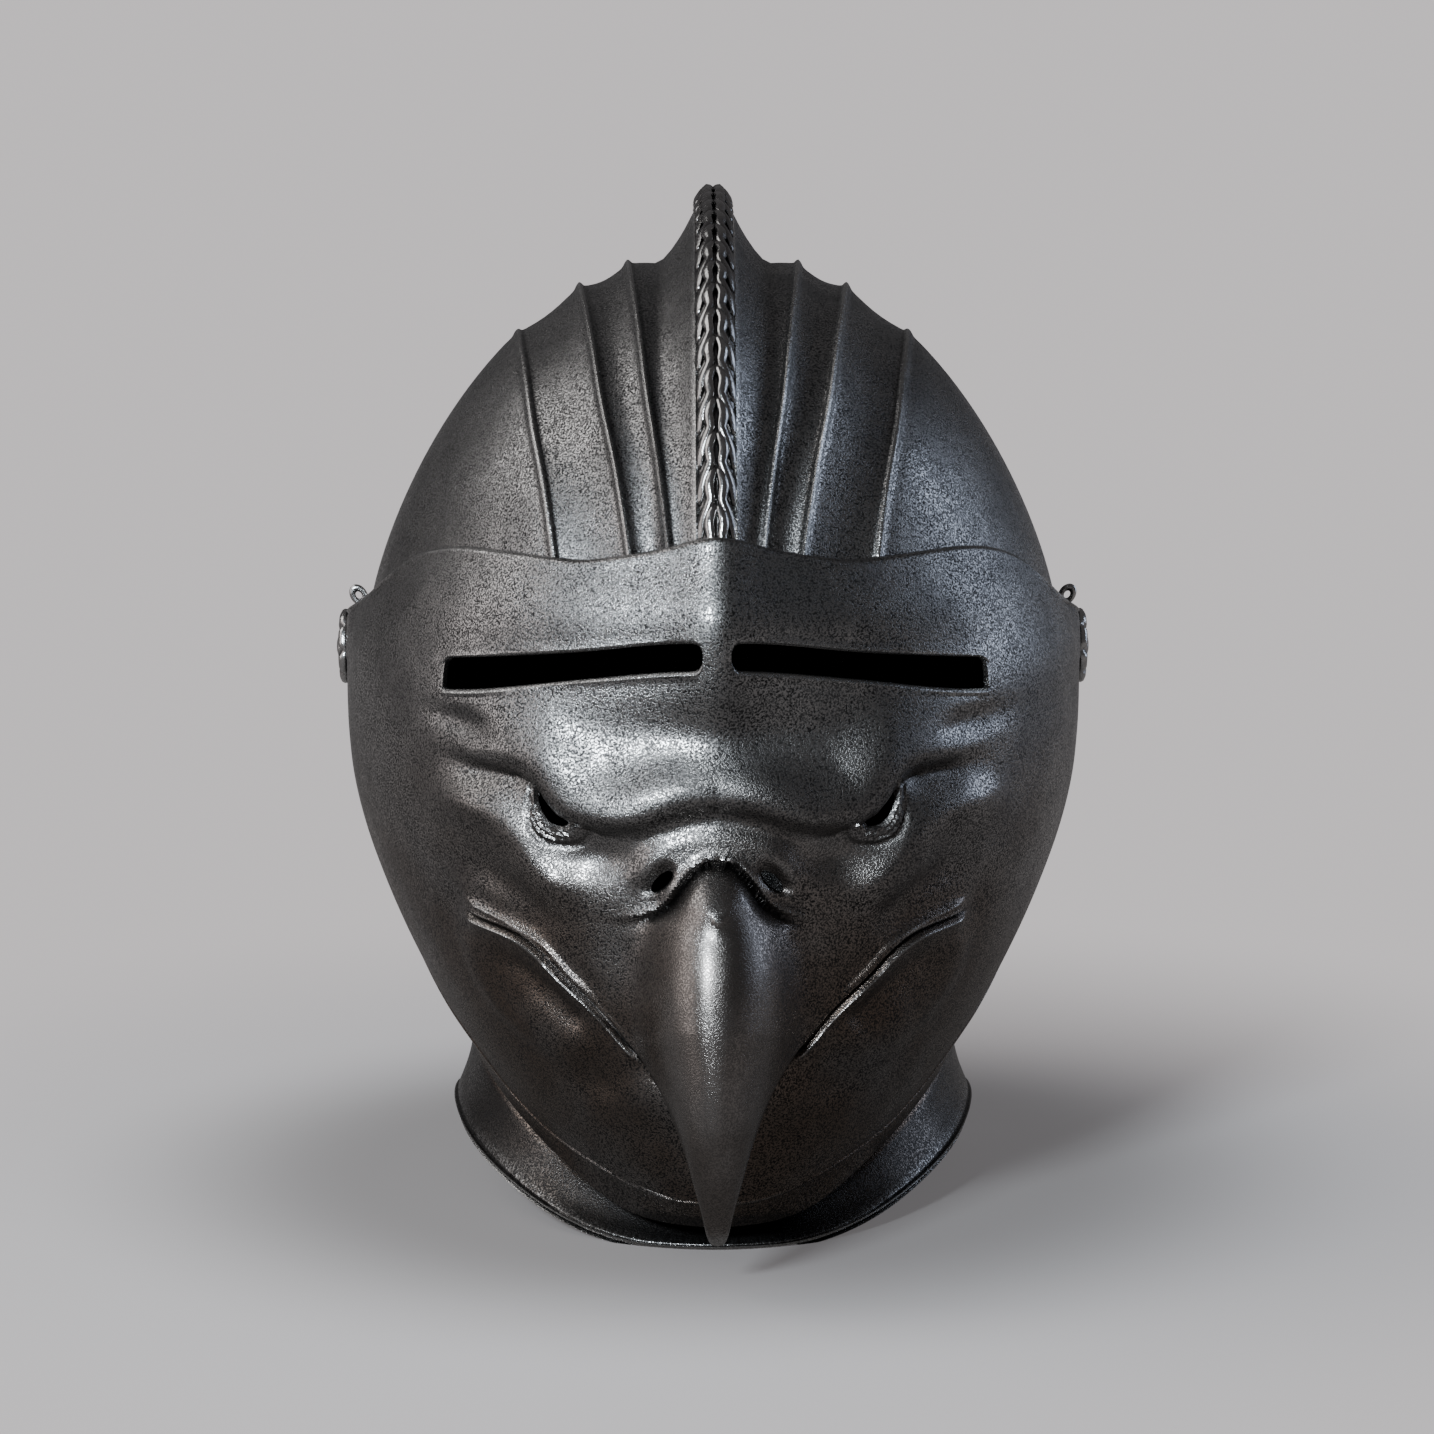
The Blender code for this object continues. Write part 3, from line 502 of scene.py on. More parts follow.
def maskRelief(x, z):
    # everything that is embossed on the mask, as a lift off its plain surface
    ax = np.abs(x)
    # brow: round underneath, crisp over the eye, soft in the middle
    side = track(ax, z, mask["browLine"], 140)[1]
    soft = browSoft(ax)
    top = 4.2 + 1.4 * step(ax, 26, 42)
    t = np.clip((side + soft) / (top + soft), 0, 1)
    crisp = np.sqrt(np.clip(1 - (1 - t) ** 2, 0, 1))
    melt = step(soft, 0.3, 3.0)
    brow = browRise(ax) * (crisp * (1 - melt) + step(t, 0, 1) * melt)
    fall = 9.0 + 2.0 * step(ax, 20, 46)
    brow = brow * np.where(side > top, bell(side - top, fall), 1)
    d = brow + stroke(ax, z, mask["crease"], -2.5, 2.6, 3.4, 0.3, 0.5)
    d = d - 3.4 * bell(ax - 33, 9) * bell(z + 38.5, 6.5)
    d = d + 1.0 * bell(ax - 17, 13) * bell(z + 19.5, 6) + 2.6 * bell(z - 27, 10) * bell(ax, 80)
    d = d - 1.5 * bell(z + 4.5, 6.5) * bell(ax - 8, 34)
    # nose
    _, side, along = track(ax, z, mask["noseEdge"])
    d = d + 2.6 * step(-side, -2.5, 5.5) * (1 - step(along, 0.75, 1)) * np.where(z > -60, 1, 0)
    # rim of the beak's root, with the groove that the beak comes out of
    near, side, along = track(ax, z, mask["cere"])
    fade = step(along, 0.0, 0.45)
    deep = step(along, 0.28, 0.6)
    d = d + fade * (1.2 * bell(near, 1.2) + 0.6 * np.where(side < 0, bell(near, 4.5), 0))
    inner = np.where(side > 0, near, 20.0)
    d = d - (0.5 + 1.3 * deep) * fade * bell(inner - 1.8, 1.0)
    d = d + fade * 0.3 * bell(inner - 4.0, 0.9)
    # nostrils: a half moon, steep on the beak's side
    v, r = ovalField(ax, z, *mask["nostril"])
    bowl = np.clip(1 - r * r, 0, 1)
    d = d - (1.2 * bowl + 3.6 * bowl ** 0.6 * step(-v / mask["nostril"][3], -0.9, 0.9))
    # eye: three rings round the outer and lower side of the slit
    near, side, along = track(ax, z, mask["eyeLine"])
    low = step(side, -0.6, 0.8)
    near = near / (0.5 + 0.5 * step(along, 0.0, 0.8))
    rings = 0.5 * bell(near - 1.75, 0.55) + 0.42 * bell(near - 3.2, 0.5) + 0.4 * bell(near - 4.7, 0.6)
    rings = rings - 0.4 * bell(near - 2.5, 0.4) - 0.36 * bell(near - 3.95, 0.45) - 0.8 * bell(near - 6.2, 0.9)
    d = d + low * (rings + 1.3 * bell(near - 2.6, 3.0) - 1.0 * bell(near, 1.2))
    # temple, cheek and the hollow under it
    d = d - 2.3 * bell(ovalField(ax, z, *mask["temple"])[1], 0.85)
    d = d + stroke(ax, z, mask["cheek"], 3.3, 5.0, 8.0, 0.3, 0.8)
    d = d + stroke(ax, z, mask["cheekUnder"], -2.0, 5.0, 6.0, 0.3, 0.7)
    d = d - 1.2 * bell(ax - 27, 7) * bell(z + 66, 12)
    # mouth: the cheek steps down to a thin upper lip, then a dark groove and a crisp lower lip
    corner = 1 - step(ax, 66.0, 71.0)
    near, side, along = track(ax, z, mask["upperEdge"])
    fade = 1 - step(along, 0.75, 1)
    up = -side
    d = d + fade * corner * (0.55 * step(-up, -1.2, 0.5) * (1 - step(-up, 3.5, 7.5)) + 0.3 * bell(near, 0.6))
    d = d - fade * corner * 0.5 * bell(up - 2.6, 2.4) * step(up, -0.3, 0.8)
    near, side, along = track(ax, z, mask["mouth"], 90)
    up = -side
    tail = 1 - step(along, 0.70, 0.79)
    d = d - corner * tail * 1.1 * bell(near, 0.55)
    d = d + corner * tail * 0.25 * bell(up - 1.2, 0.5)
    swell = 0.55 * bell(up + 1.2, 0.7) + 0.7 * step(-up, 0.3, 1.1) * (1 - step(-up, 1.5, 9.0))
    d = d + corner * tail * swell
    d = d + stroke(ax, z, mask["padLine"], 1.1, 5.0, 2.2, 0.1, 0.75)
    d = d + 1.6 * bell(ax - 12, 12) * bell(z + 108, 8) * (1 - step(up, -1.0, 0.6))
    d = d + stroke(ax, z, mask["lipHollow"], -1.7, 3.4, 4.2, 0.3, 0.85)
    d = d + 0.7 * corner * step(ax, 60, 69) * bell(z + 61.5, 5.5)
    d = d - 1.3 * bell(ax - 73.6, 2.4) * bell(z + 58, 6.0)
    d = d + stroke(ax, z, mask["jaw"], 1.3, 4.5, 7.0, 0.25, 0.8)
    d = d - 1.5 * bell(ax - 33, 6) * bell(z + 105, 5)
    d = d + 0.6 * bell(ax - 22.5, 7) * bell(z + 107, 7)
    return d


# the beak's ridge line, its half width and its soft fillet to the cheeks, by height
ridgeAt = smooth([(-30, -136), (-36, -140.5), (-38.5, -142.4), (-41, -145.8), (-44, -149.6), (-47, -152.8),
                  (-51, -156), (-61.5, -161.4), (-80, -166.3), (-98, -168.3), (-140, -168.3)])
ridgeWide = smooth([(-30, 3), (-36, 3.4), (-38.5, 5.0), (-40.5, 7.0), (-43.5, 9.4), (-46.5, 11.4),
                    (-49, 13.2), (-52, 15.4), (-56, 17.6), (-64, 20.0), (-80, 22.0), (-98, 21.0),
                    (-140, 21.0)])
ridgeFillet = smooth([(-30, 0.5), (-44, 0.9), (-50, 2.2), (-62, 7.0), (-80, 9.0), (-98, 8.0), (-140, 8.0)])
# the free tip, from its foot (0) to its point (1)
tipY = smooth([(-0.3, -162.6), (0, -166.3), (0.3, -168.3), (0.6, -166), (0.8, -160.5), (1, -148.5)])
tipZ = smooth([(-0.3, -64), (0, -81), (0.3, -98), (0.6, -116), (0.8, -129), (1, -145.2)])
underY = smooth([(-0.3, -134), (0, -141), (0.3, -148), (0.6, -150), (0.8, -150.5), (1, -148)])
underZ = smooth([(-0.3, -109), (0, -117), (0.3, -125), (0.6, -133), (0.8, -138.5), (1, -145.4)])
tipWide = smooth([(-0.3, 21.5), (0, 15.0), (0.15, 11.8), (0.3, 9.6), (0.6, 6.3), (0.8, 4.1), (0.92, 2.9),
                  (0.97, 2.2), (1, 0.9)])
# the foot, a patch of the mask that is carried out: its middle height, half width, and reach up and down
beak = {
    "rootZ": -97.5,
    "half": 18.0,
    "up": 16.5,
    "down": 7.5,
    "hollowTo": 0.86,
    "wallExtra": 0.3,
    "blendTo": 0.45,
}


def plainY(x, z):
    # the mask's front without any relief
    power = 2 / (1 - 0.05 * np.clip((z + 50) / 50, 0, 1))
    share = np.clip(1 - (np.abs(x) / maskW(z)) ** power, 1e-6, None)
    return -maskF(z) * share ** (1 / power)


def ridgeLift(x, z):
    # how far the beak's upper part stands out ahead of the mask
    height = np.clip(plainY(0 * z, z) - ridgeAt(z), 0, None)
    v = height * (1 - (np.abs(x) / ridgeWide(z)) ** 2.3)
    soft = ridgeFillet(z) * step(height, 0, 6)
    lift = 0.5 * (v + np.sqrt(v * v + soft * soft))
    side = track(np.abs(x), z, mask["mouth"], 90)[1]
    under = track(np.abs(x), z, mask["cere"])[1]
    far = 1 - step(np.abs(x), 30, 46)
    return lift * step(-side, -0.9, 0.6) * far * step(under, 0.6, 3.0) * step(-z, 35, 38)


def middleAndHalf(top, under, t):
    return (top(t) + under(t)) / 2, (top(t) - under(t)) / 2


def beakOut(x, z, base, inner):
    # carries the foot of the free tip out along the tip
    rise = z - beak["rootZ"]
    length = np.where(rise > 0, beak["up"], beak["down"])
    q = ((np.abs(x) / beak["half"]) ** 3 + (np.abs(rise) / length) ** 3) ** (1 / 3)
    inFoot = q < 1
    s = np.clip(1 - q, 0, 1)
    turn = np.arctan2(x / beak["half"], rise / length)
    # where the same direction meets the foot's edge
    ring = inFoot & (q > 1e-6)
    edgeX = np.where(ring, x / np.maximum(q, 1e-6), 0)
    edgeZ = beak["rootZ"] + np.where(ring, rise / np.maximum(q, 1e-6), 0)
    edgeY = plainY(edgeX, edgeZ) - ridgeLift(edgeX, edgeZ) + (plate if inner else 0.0)
    # the tip's section; the inner sheet keeps a wall's distance and closes before the point
    t = s * beak["hollowTo"] if inner else s
    wall = plate + beak["wallExtra"] if inner else 0.0
    (sideY, hy), (sideZ, hz) = middleAndHalf(tipY, underY, t), middleAndHalf(tipZ, underZ, t)
    size = np.maximum(np.hypot(hy, hz), 0.05)
    close = 1 - s ** 8 if inner else 1.0
    shrink = np.maximum(size - wall, 0.2) / size * close
    w = np.maximum(tipWide(t) - wall, 0.2) * close
    c = np.sign(np.cos(turn)) * np.abs(np.cos(turn)) ** 1.1
    px, py, pz = w * np.sin(turn), sideY + hy * shrink * c, sideZ + hz * shrink * c
    # near the foot's edge the section gives way to the mask's own shape
    (y0, hy0), (z0, hz0) = middleAndHalf(tipY, underY, 0), middleAndHalf(tipZ, underZ, 0)
    x0, y0, z0 = tipWide(0) * np.sin(turn), y0 + hy0 * c, z0 + hz0 * c
    keep = (1 - np.minimum(s / beak["blendTo"], 1)) ** 2
    out = np.stack([px + (edgeX - x0) * keep, py + (edgeY - y0) * keep, pz + (edgeZ - z0) * keep], -1)
    return np.where(inFoot[..., None], out, base)


def maskPoints(turn, z, inner):
    # the outer or the inner sheet, with the relief, the keel, the beak's ridge and its free tip
    x, y = maskBase(turn, z, 0.0)
    nx = x / maskW(z) ** 2
    ny = np.where(y > 0, 0, y / maskF(z) ** 2)
    n = np.hypot(nx, ny)
    nx, ny = nx / n, ny / n
    slope = (maskW(z + 2) - maskW(z - 2)) / 4
    nz = -slope * np.abs(nx)
    lift = maskRelief(x, z)
    flat = (np.abs(x) > flatX - 4) & (np.abs(z) < 24)
    lift = np.where(flat, 0, lift)
    off = lift - (plate * np.sqrt(1 + nz * nz) if inner else 0.0)
    off = np.where(flat, -plate if inner else 0.0, off)
    k = keel(z) / (1 + (x / 13.0) ** 2)
    p = np.stack([x + nx * off, y + ny * off - k - ridgeLift(x, z), z + 0 * x], -1)
    if inner:
        p[..., 0] = np.sign(p[..., 0]) * np.minimum(np.abs(p[..., 0]), flatX - plate)
    return beakOut(x, z, p, inner)


# the visor's upper and lower edges by turn, and how far round its side edge reaches by height
zTop = smooth([(0, 48.3), (3, 47.3), (8, 44.6), (14.5, 42.2), (21, 40.6), (28, 40.7), (38, 41.1), (45, 40.9),
               (52, 39.3), (59, 35.5), (66, 28.5), (72, 22.8), (80, 17.5), (86, 13.4), (90, 12.5),
               (99, 10.5)])
zBot = smooth([(0, -140.5), (12, -139.8), (24, -137), (34, -133), (45, -128.5), (52, -124.5), (58, -119),
               (64, -112.5), (70, -107), (80, -101), (90, -94), (99, -84)])
sweep = smooth([(18, 97), (0, 98.5), (-20, 96), (-45, 88), (-100, 84)])


def swept(turn, z):
    # the turn at which a column stands at a height
    return turn * (1 - (1 - sweep(z) / sideTurn) * (np.abs(turn) / sideTurn) ** 2)


def spread(stops):
    # positions between stops, each given as (end, spacing)
    out = [stops[0][0]]
    for (a, _), (b, gapSize) in zip(stops, stops[1:]):
        n = max(1, int(round(abs(b - a) / gapSize)))
        out += list(np.linspace(a, b, n + 1)[1:])
    return np.array(out)


def edgeSpread(stops, first, last):
    # the same with close rows next to the ends, so that an edge can be rounded
    line = spread(stops)
    sign = 1 if line[-1] > line[0] else -1
    head = line[0] + sign * np.array([0, 0.18, 0.42, 0.75, 1.2]) if first else line[:1]
    tail = line[-1] - sign * np.array([1.2, 0.75, 0.42, 0.18, 0]) if last else line[-1:]
    middle = [v for v in line[1:-1] if abs(v - line[0]) > (1.6 if first else 0.1) and
              abs(v - line[-1]) > (1.6 if last else 0.1)]
    return np.concatenate([head, middle, tail])


def makeVisor():
    # columns by turn from the front, close together at the beak and the eyes
    half = edgeSpread([(0, 0.42), (9, 0.42), (18, 0.72), (29.5, 0.36), (41, 0.9), (46, 0.5), (sideTurn, 1.9)],
                      False, True)
    across = np.concatenate([-half[:0:-1], half])
    sTop, sBottom = smooth(mask["sightTop"]), smooth(mask["sightBottom"])
    high = edgeSpread([(0, 1), (28, 1.5)], True, True) / 28
    slot = edgeSpread([(0, 1), (7.6, 1.1)], True, True) / 7.6
    face = edgeSpread([(0, 1), (26, 1.3), (50, 0.62), (65, 1.1), (77.5, 0.52)], True, False) / 77.5
    chin = edgeSpread([(0, 1), (8, 0.5), (44, 1.7)], False, True) / 44
    turn = across[None, :]
    a = np.abs(across)
    # height of the sight's two edges and of the mouth in each column
    zt, zb = np.full_like(a, 18.0), np.full_like(a, 10.0)
    sightStart, sightEnd = mask["sightEnds"]
    straight = mask["sightStraight"]
    for _ in range(4):
        x = np.abs(maskBase(a, (zt + zb) / 2, 0.0)[0])
        x = np.where(a > 90, x + (a - 90), x)
        zt = np.where(x > straight, sTop(straight) - (x - straight) * 0.16, sTop(x))
        zb = np.where(x > straight, sBottom(straight) - (x - straight) * 0.06, sBottom(x))
    zm = np.full_like(a, -70.0)
    cornerX, cornerZ = mask["mouthCorner"]
    for _ in range(6):
        xm = np.abs(maskBase(swept(a, zm), zm, 0.0)[0])
        zm = np.where(xm > cornerX, cornerZ + (xm - cornerX) * 0.25, mouthZ(xm))
    zt, zb = np.minimum(zt, zTop(a) - 3.5), np.minimum(zb, zTop(a) - 8)
    for end, way, r in ((sightStart, 1, mask["sightCorner"]), (sightEnd, -1, 1.5)):
        d = np.clip((x - end) * way, 0, r)
        near = ((x - end) * way > -1.6) & ((x - end) * way < r)
        pull = r - np.sqrt(np.clip(r * r - (r - d) ** 2, 0, None))
        zt = np.where(near, zt - pull, zt)
        zb = np.where(near, zb + pull * (1.0 if way == 1 else 0.5), zb)
    z = [zTop(a) * (1 - v) + zt * v for v in high]
    z += [zt * (1 - v) + zb * v for v in slot[1:]]
    z += [zb * (1 - v) + zm * v for v in face[1:]]
    z += [zm * (1 - v) + zBot(a) * v for v in chin[1:]]
    z = np.array(z)
    first, last = len(high) - 1, len(high) - 1 + len(slot) - 1
    outer, inner = (maskPoints(swept(turn, z), z, isInner) for isInner in (False, True))
    # rounded edges: the outer sheet sinks at every free edge
    away = np.full(z.shape, 9.0)
    away = np.minimum(away, zTop(a)[None] - z)
    away = np.minimum(away, z - zBot(a)[None])
    away = np.minimum(away, (sideTurn - np.abs(turn)) * 1.9 + 0 * z)
    inSlot = (x > sightStart - 0.05) & (x < sightEnd + 0.05)
    above, below = z - zt[None], zb[None] - z
    away = np.where(inSlot[None] & (above >= 0), np.minimum(away, above), away)
    away = np.where(inSlot[None] & (below >= 0), np.minimum(away, below), away)
    rounding = np.clip(1 - away / 0.8, 0, 1) ** 2 * 0.75
    lip = 0.32 * bell(away - 1.05, 0.42) - 0.3 * bell(away - 2.1, 0.4)
    centre = np.stack([np.zeros_like(z), np.full_like(z, 20.0), z], -1)
    way = outer - centre
    way[..., 2] = 0
    way /= np.maximum(np.linalg.norm(way, axis=-1, keepdims=True), 1e-6)
    outer = outer + way * (lip - rounding)[..., None]
    ob = plateGrid("visorPlate", outer)
    # open the sights, and keep each point's place in the inner sheet
    rows, cols = z.shape
    mesh = ob.data
    mid = (x[1:] + x[:-1]) / 2
    for part in (mesh.vertices, mesh.edges, mesh.polygons):
        part.foreach_set("select", np.zeros(len(part), bool))
    for i in range(first, last):
        for j in range(cols - 1):
            mesh.polygons[i * (cols - 1) + j].select = bool(sightStart < mid[j] < sightEnd)
    stamp = mesh.attributes.new("place", 'INT', 'POINT')
    stamp.data.foreach_set("value", np.arange(rows * cols, dtype=np.int32))
    select(ob)
    bpy.ops.object.mode_set(mode='EDIT')
    bpy.ops.mesh.delete(type='FACE')
    bpy.ops.object.mode_set(mode='OBJECT')
    keep = np.empty(len(mesh.vertices), np.int32)
    mesh.attributes["place"].data.foreach_get("value", keep)
    mesh.attributes.remove(mesh.attributes["place"])
    thicken(ob, (inner, keep))
    return ob


visor = makeVisor()
print("visor plate", len(visor.data.polygons))


def outlineCutter(name, outline, near, far):
    # a filled ring laid on the outline's points, then drawn out along Y
    ob = addShape(bpy.ops.mesh.primitive_circle_add, name, vertices=len(outline), radius=1.0,
                  fill_type='NGON')
    for vertex, (x, z) in zip(ob.data.vertices, outline):
        vertex.co = toWorld((x, near, z))
    bpy.ops.object.mode_set(mode='EDIT')
    bpy.ops.mesh.select_all(action='SELECT')
    bpy.ops.mesh.extrude_region_move(TRANSFORM_OT_translate={"value": (0, (far - near) * 0.001, 0)})
    bpy.ops.object.mode_set(mode='OBJECT')
    cleanFaces(ob)
    return ob


def ovalOutline(cx, cz, half, tall, tilt):
    t = np.linspace(0, 2 * math.pi, 25)[:-1]
    c, s = math.cos(math.radians(tilt)), math.sin(math.radians(tilt))
    u, v = half * np.cos(t), tall * np.sin(t)
    return list(zip(cx + u * c - v * s, cz + u * s + v * c))


def cutWith(ob, cutters):
    for cutter in cutters:
        applyModifier(ob, 'BOOLEAN', operation='DIFFERENCE', solver='EXACT', object=cutter)
        bpy.data.objects.remove(cutter)


def boreHoles(ob, at, depth, sides):
    # a round hole on the pivots' line through each side
    for side in (-1, 1):
        cutter = addShape(bpy.ops.mesh.primitive_cylinder_add, "pivotCut", vertices=sides,
                          radius=helmet["pivotHole"] * 0.001, depth=depth * 0.001,
                          location=toWorld((side * at, 0, 0)), rotation=(0, math.pi / 2, 0))
        bpy.ops.object.transform_apply(location=True, rotation=True, scale=True)
        cutWith(ob, [cutter])


def polishShare(x, y, z):
    # worn smooth on the beak and a little under the brow
    underBrow = 0.45 * bell(np.abs(x) - 30, 16) * bell(z + 36, 7) * step(-y, 60, 90)
    return np.maximum(step(-y, 146, 158) * 0.7, underBrow)


closedSlit = chain(mask["eyeCut"] + mask["eyeCut"][:1], 37)[:-1]
for side in (-1, 1):
    slit = [(side * x, z) for x, z in closedSlit]
    hole = [(side * x, z) for x, z in ovalOutline(*mask["nostrilHole"])]
    cutWith(visor, [outlineCutter("eyeCut", slit, -150, -95), outlineCutter("nostrilCut", hole, -175, -100)])
boreHoles(visor, 106, 12.0, 32)
relativeHeight(visor)
pointMask(visor, "polish", polishShare)
insideMask(visor)
finishPiece(visor, "visor", maskSteel, ["visor"], plateAngle)
print("visor finished", len(visor.data.polygons))

# skull: radius about the pivots' line, by angle from straight ahead (0) over the top (90) to the back (180),
# with the power of its curve from side to side and the radius of the comb's crest
domeR = smooth([(0, 130.5), (20, 130), (45, 126), (70, 120.5), (99, 118), (130, 119.5), (160, 123),
                (180, 124.5)])
domeM = smooth([(0, 1.9), (20, 1.86), (50, 1.7), (99, 1.5), (140, 1.7), (180, 2.0)])
crest = smooth([(0, 137.4), (110, 137.4), (140, 136.2), (160, 134.3), (180, 132.5), (195, 132.8),
                (209, 134.6), (220, 139)])
# how far the ribs have spread from their front places (0) to their places on top (1), by the same angle
ribSpread = smooth([(0, -0.25), (20, 0.0), (30, 0.2), (43, 0.49), (55, 0.66), (75, 0.88), (99, 1.0),
                    (140, 0.75), (180, 0.1)])
# the comb's flank: the share of its height, by distance from the middle
combSide = smooth([(0, 0.86), (3.6, 0.84), (5.0, 0.67), (6.9, 0.50), (11.4, 0.19), (15.9, 0.0), (20, 0.0)])
# by height: reach of the back, what is left of its ribs, half width of the sides, and y of the side edges
backR = smooth([(0, 124.5), (-20, 124), (-45, 120.5), (-70, 114), (-90, 106), (-110, 98), (-134, 90)])
backFade = smooth([(0, 1.0), (-32, 0.75), (-64, 0.3), (-85, 0.0), (-140, 0.0)])
sideW = smooth([(z, float(maskW(z)) - 2 * plate - 2 * gap + 0.1) for z in range(-110, 1, 10)])
edgeY = smooth([(0, -14), (-20, -4), (-60, 4), (-110, 6), (-160, 0)])
# height of the crease at the neck, by angle round from the front
creaseZ = smooth([(0, -147), (30, -143), (45, -134), (60, -125), (75, -118), (90, -114), (135, -122),
                  (165, -132), (180, -134), (195, -132)])
skullShape = {
    "ribTop": (25.6, 40.0, 58.3),
    "ribFront": (13.2, 24.0, 44.6),
    "ribLift": 0.8,
    "ribWidth": 1.1,
    "fluteDepth": 2.6,
    "domeHalf": 103.5,
    "poleY": -14.0,
    "poleX": flatX - 2 * plate - 2 * gap + 0.1,
    "bedDepth": 3.8,
    "lowestSide": -108.0,
}
# the collar from the crease at the neck to its rim; middle is the half width and reach halfway between them
collar = {
    "creaseHalf": 71.5,
    "rimHalf": 77.7,
    "frontReach": 95.0,
    "backReach": 90.0,
    "rimReach": 108.0,
    "rimRise": 19.0,
    "middle": (74.5, 101),
}
collarSteps = np.concatenate([np.linspace(0, 0.87, 18),
                              [0.89, 0.905, 0.92, 0.935, 0.95, 0.962, 0.975, 0.988, 1.0]])


def ribX(k, phi):
    low, high = skullShape["ribFront"][k], skullShape["ribTop"][k]
    return low + (high - low) * ribSpread(phi)


def ribShape(off):
    # a narrow raised band with a small step at each side
    w = skullShape["ribWidth"]
    off = np.abs(off)
    return skullShape["ribLift"] * (1 - step(off, 0.35 * w, 1.45 * w)) - 0.1 * bell(off - 2.3, 0.9)


def domeBase(x, phi):
    # the plain dome's radius
    n = 2.0 + 0.1 * np.sin(np.radians(phi)) ** 2
    share = np.clip(1 - (np.abs(x) / skullShape["domeHalf"]) ** n, 0, None)
    return domeR(phi) * share ** (1 / domeM(phi))


def domeSide(rho, phi):
    # the same turned round: x of the plain dome at a radius
    n = 2.0 + 0.1 * np.sin(np.radians(phi)) ** 2
    x = skullShape["domeHalf"] * np.clip(1 - (rho / domeR(phi)) ** domeM(phi), 0, None) ** (1 / n)
    return np.minimum(x, skullShape["poleX"])


def flutes(ax, marks, depth):
    # shallow hollows between neighbouring marks
    d = np.zeros_like(ax)
    for a, b in zip(marks, marks[1:]):
        t = np.clip((ax - a) / (b - a), 0, 1)
        d = d - depth * 4 * t * (1 - t)
    return d


def ribbed(ax, marks, depth, fade, rise, bed):
    # flutes between the ribs, and in the middle the comb with a bed for its braid
    d = flutes(ax, marks, depth)
    for mark in marks[1:]:
        d = d + ribShape(ax - mark) * fade
    share = combSide(ax)
    return d * (1 - share) + rise * share - skullShape["bedDepth"] * (1 - step(ax, 3.6, 5.9)) * bed


def domeRelief(x, phi):
    ax = np.abs(x)
    marks = [0 * ax] + [ribX(k, phi) + 0 * ax for k in range(3)]
    depth = np.minimum(skullShape["fluteDepth"], 0.085 * (marks[3] - marks[1]))
    return ribbed(ax, marks, depth, 1.0, crest(phi) - domeR(phi), 1.0)


def backRelief(x, z):
    phi = np.degrees(np.arctan2(z, -backR(z))) % 360
    ax = np.abs(x)
    fade = backFade(z)
    marks = [0 * ax] + [ribX(k, 180.0) * (1 + z / 500) for k in range(3)]
    rise = np.maximum(crest(phi) - np.hypot(backR(z), z), 0.0)
    return ribbed(ax, marks, 2.4 * fade, fade, rise, step(rise, 0, 4))


combStops = np.array([0, 1.2, 2.4, 3.4, 4.2, 4.9, 5.6, 6.4, 7.4, 8.6, 10.0])
ribOffsets = np.array([0, 0.45, 0.8, 1.15, 1.5, 1.9, 2.6, 3.5])


def ribColumns(phi):
    # distances from the middle, close together on both flanks of each rib, for every angle in phi
    out = [np.full_like(phi, c) for c in combStops]
    marks = [np.full_like(phi, 10.0)] + [ribX(k, phi) for k in range(3)]
    for i, (a, b) in enumerate(zip(marks, marks[1:])):
        room = b - a
        near = np.minimum(1, room / 9.0)
        first = [] if i == 0 else [a + near * o for o in ribOffsets[1:]]
        last = [b - near * o for o in ribOffsets[::-1]]
        low = a if i == 0 else first[-1]
        inner = [low + (last[0] - low) * t for t in np.linspace(0, 1, 6)[1:-1]]
        out += first + inner + last
    return np.array(out).T


def rimZ(turn):
    # height of the collar's rim, which rises at the sides
    side = np.clip((np.abs(np.sin(np.radians(turn))) - 0.22) / 0.78, 0, 1)
    return -helmet["pivotZ"] + collar["rimRise"] * side ** 1.8


def neckPoints(turn, t, reach, inset):
    # t runs from 0 at the crease to 1 at the collar's rim
    a = np.radians(turn)
    z = creaseZ(np.abs(turn)) + (rimZ(turn) - creaseZ(np.abs(turn))) * t
    flare = t ** 0.8
    # a hollow in the flange, then a rolled rim
    roll = 0.9 * bell(t - 0.975, 0.022) - 0.35 * bell(t - 0.92, 0.02)
    roll = roll - 1.3 * np.sin(np.pi * np.clip(t / 0.9, 0, 1))
    waves = 0.5 * t * t * (np.sin(5 * a + 0.6) * 0.5 + np.sin(11 * a + 2.0) * 0.35)
    z = z + roll * 0.6 + waves * 0.4
    half = collar["creaseHalf"]
    w = half + (collar["rimHalf"] - half) * flare - inset + roll * 0.7 + waves
    r = reach + (collar["rimReach"] - reach) * flare - inset + roll * 0.7 + waves
    return np.stack([w * np.sin(a), -r * np.cos(a), z], -1)


def backHalf(z):
    # half width at the back, by height
    return np.minimum(sideW(np.maximum(z, skullShape["lowestSide"])), skullShape["poleX"] + 0.5)


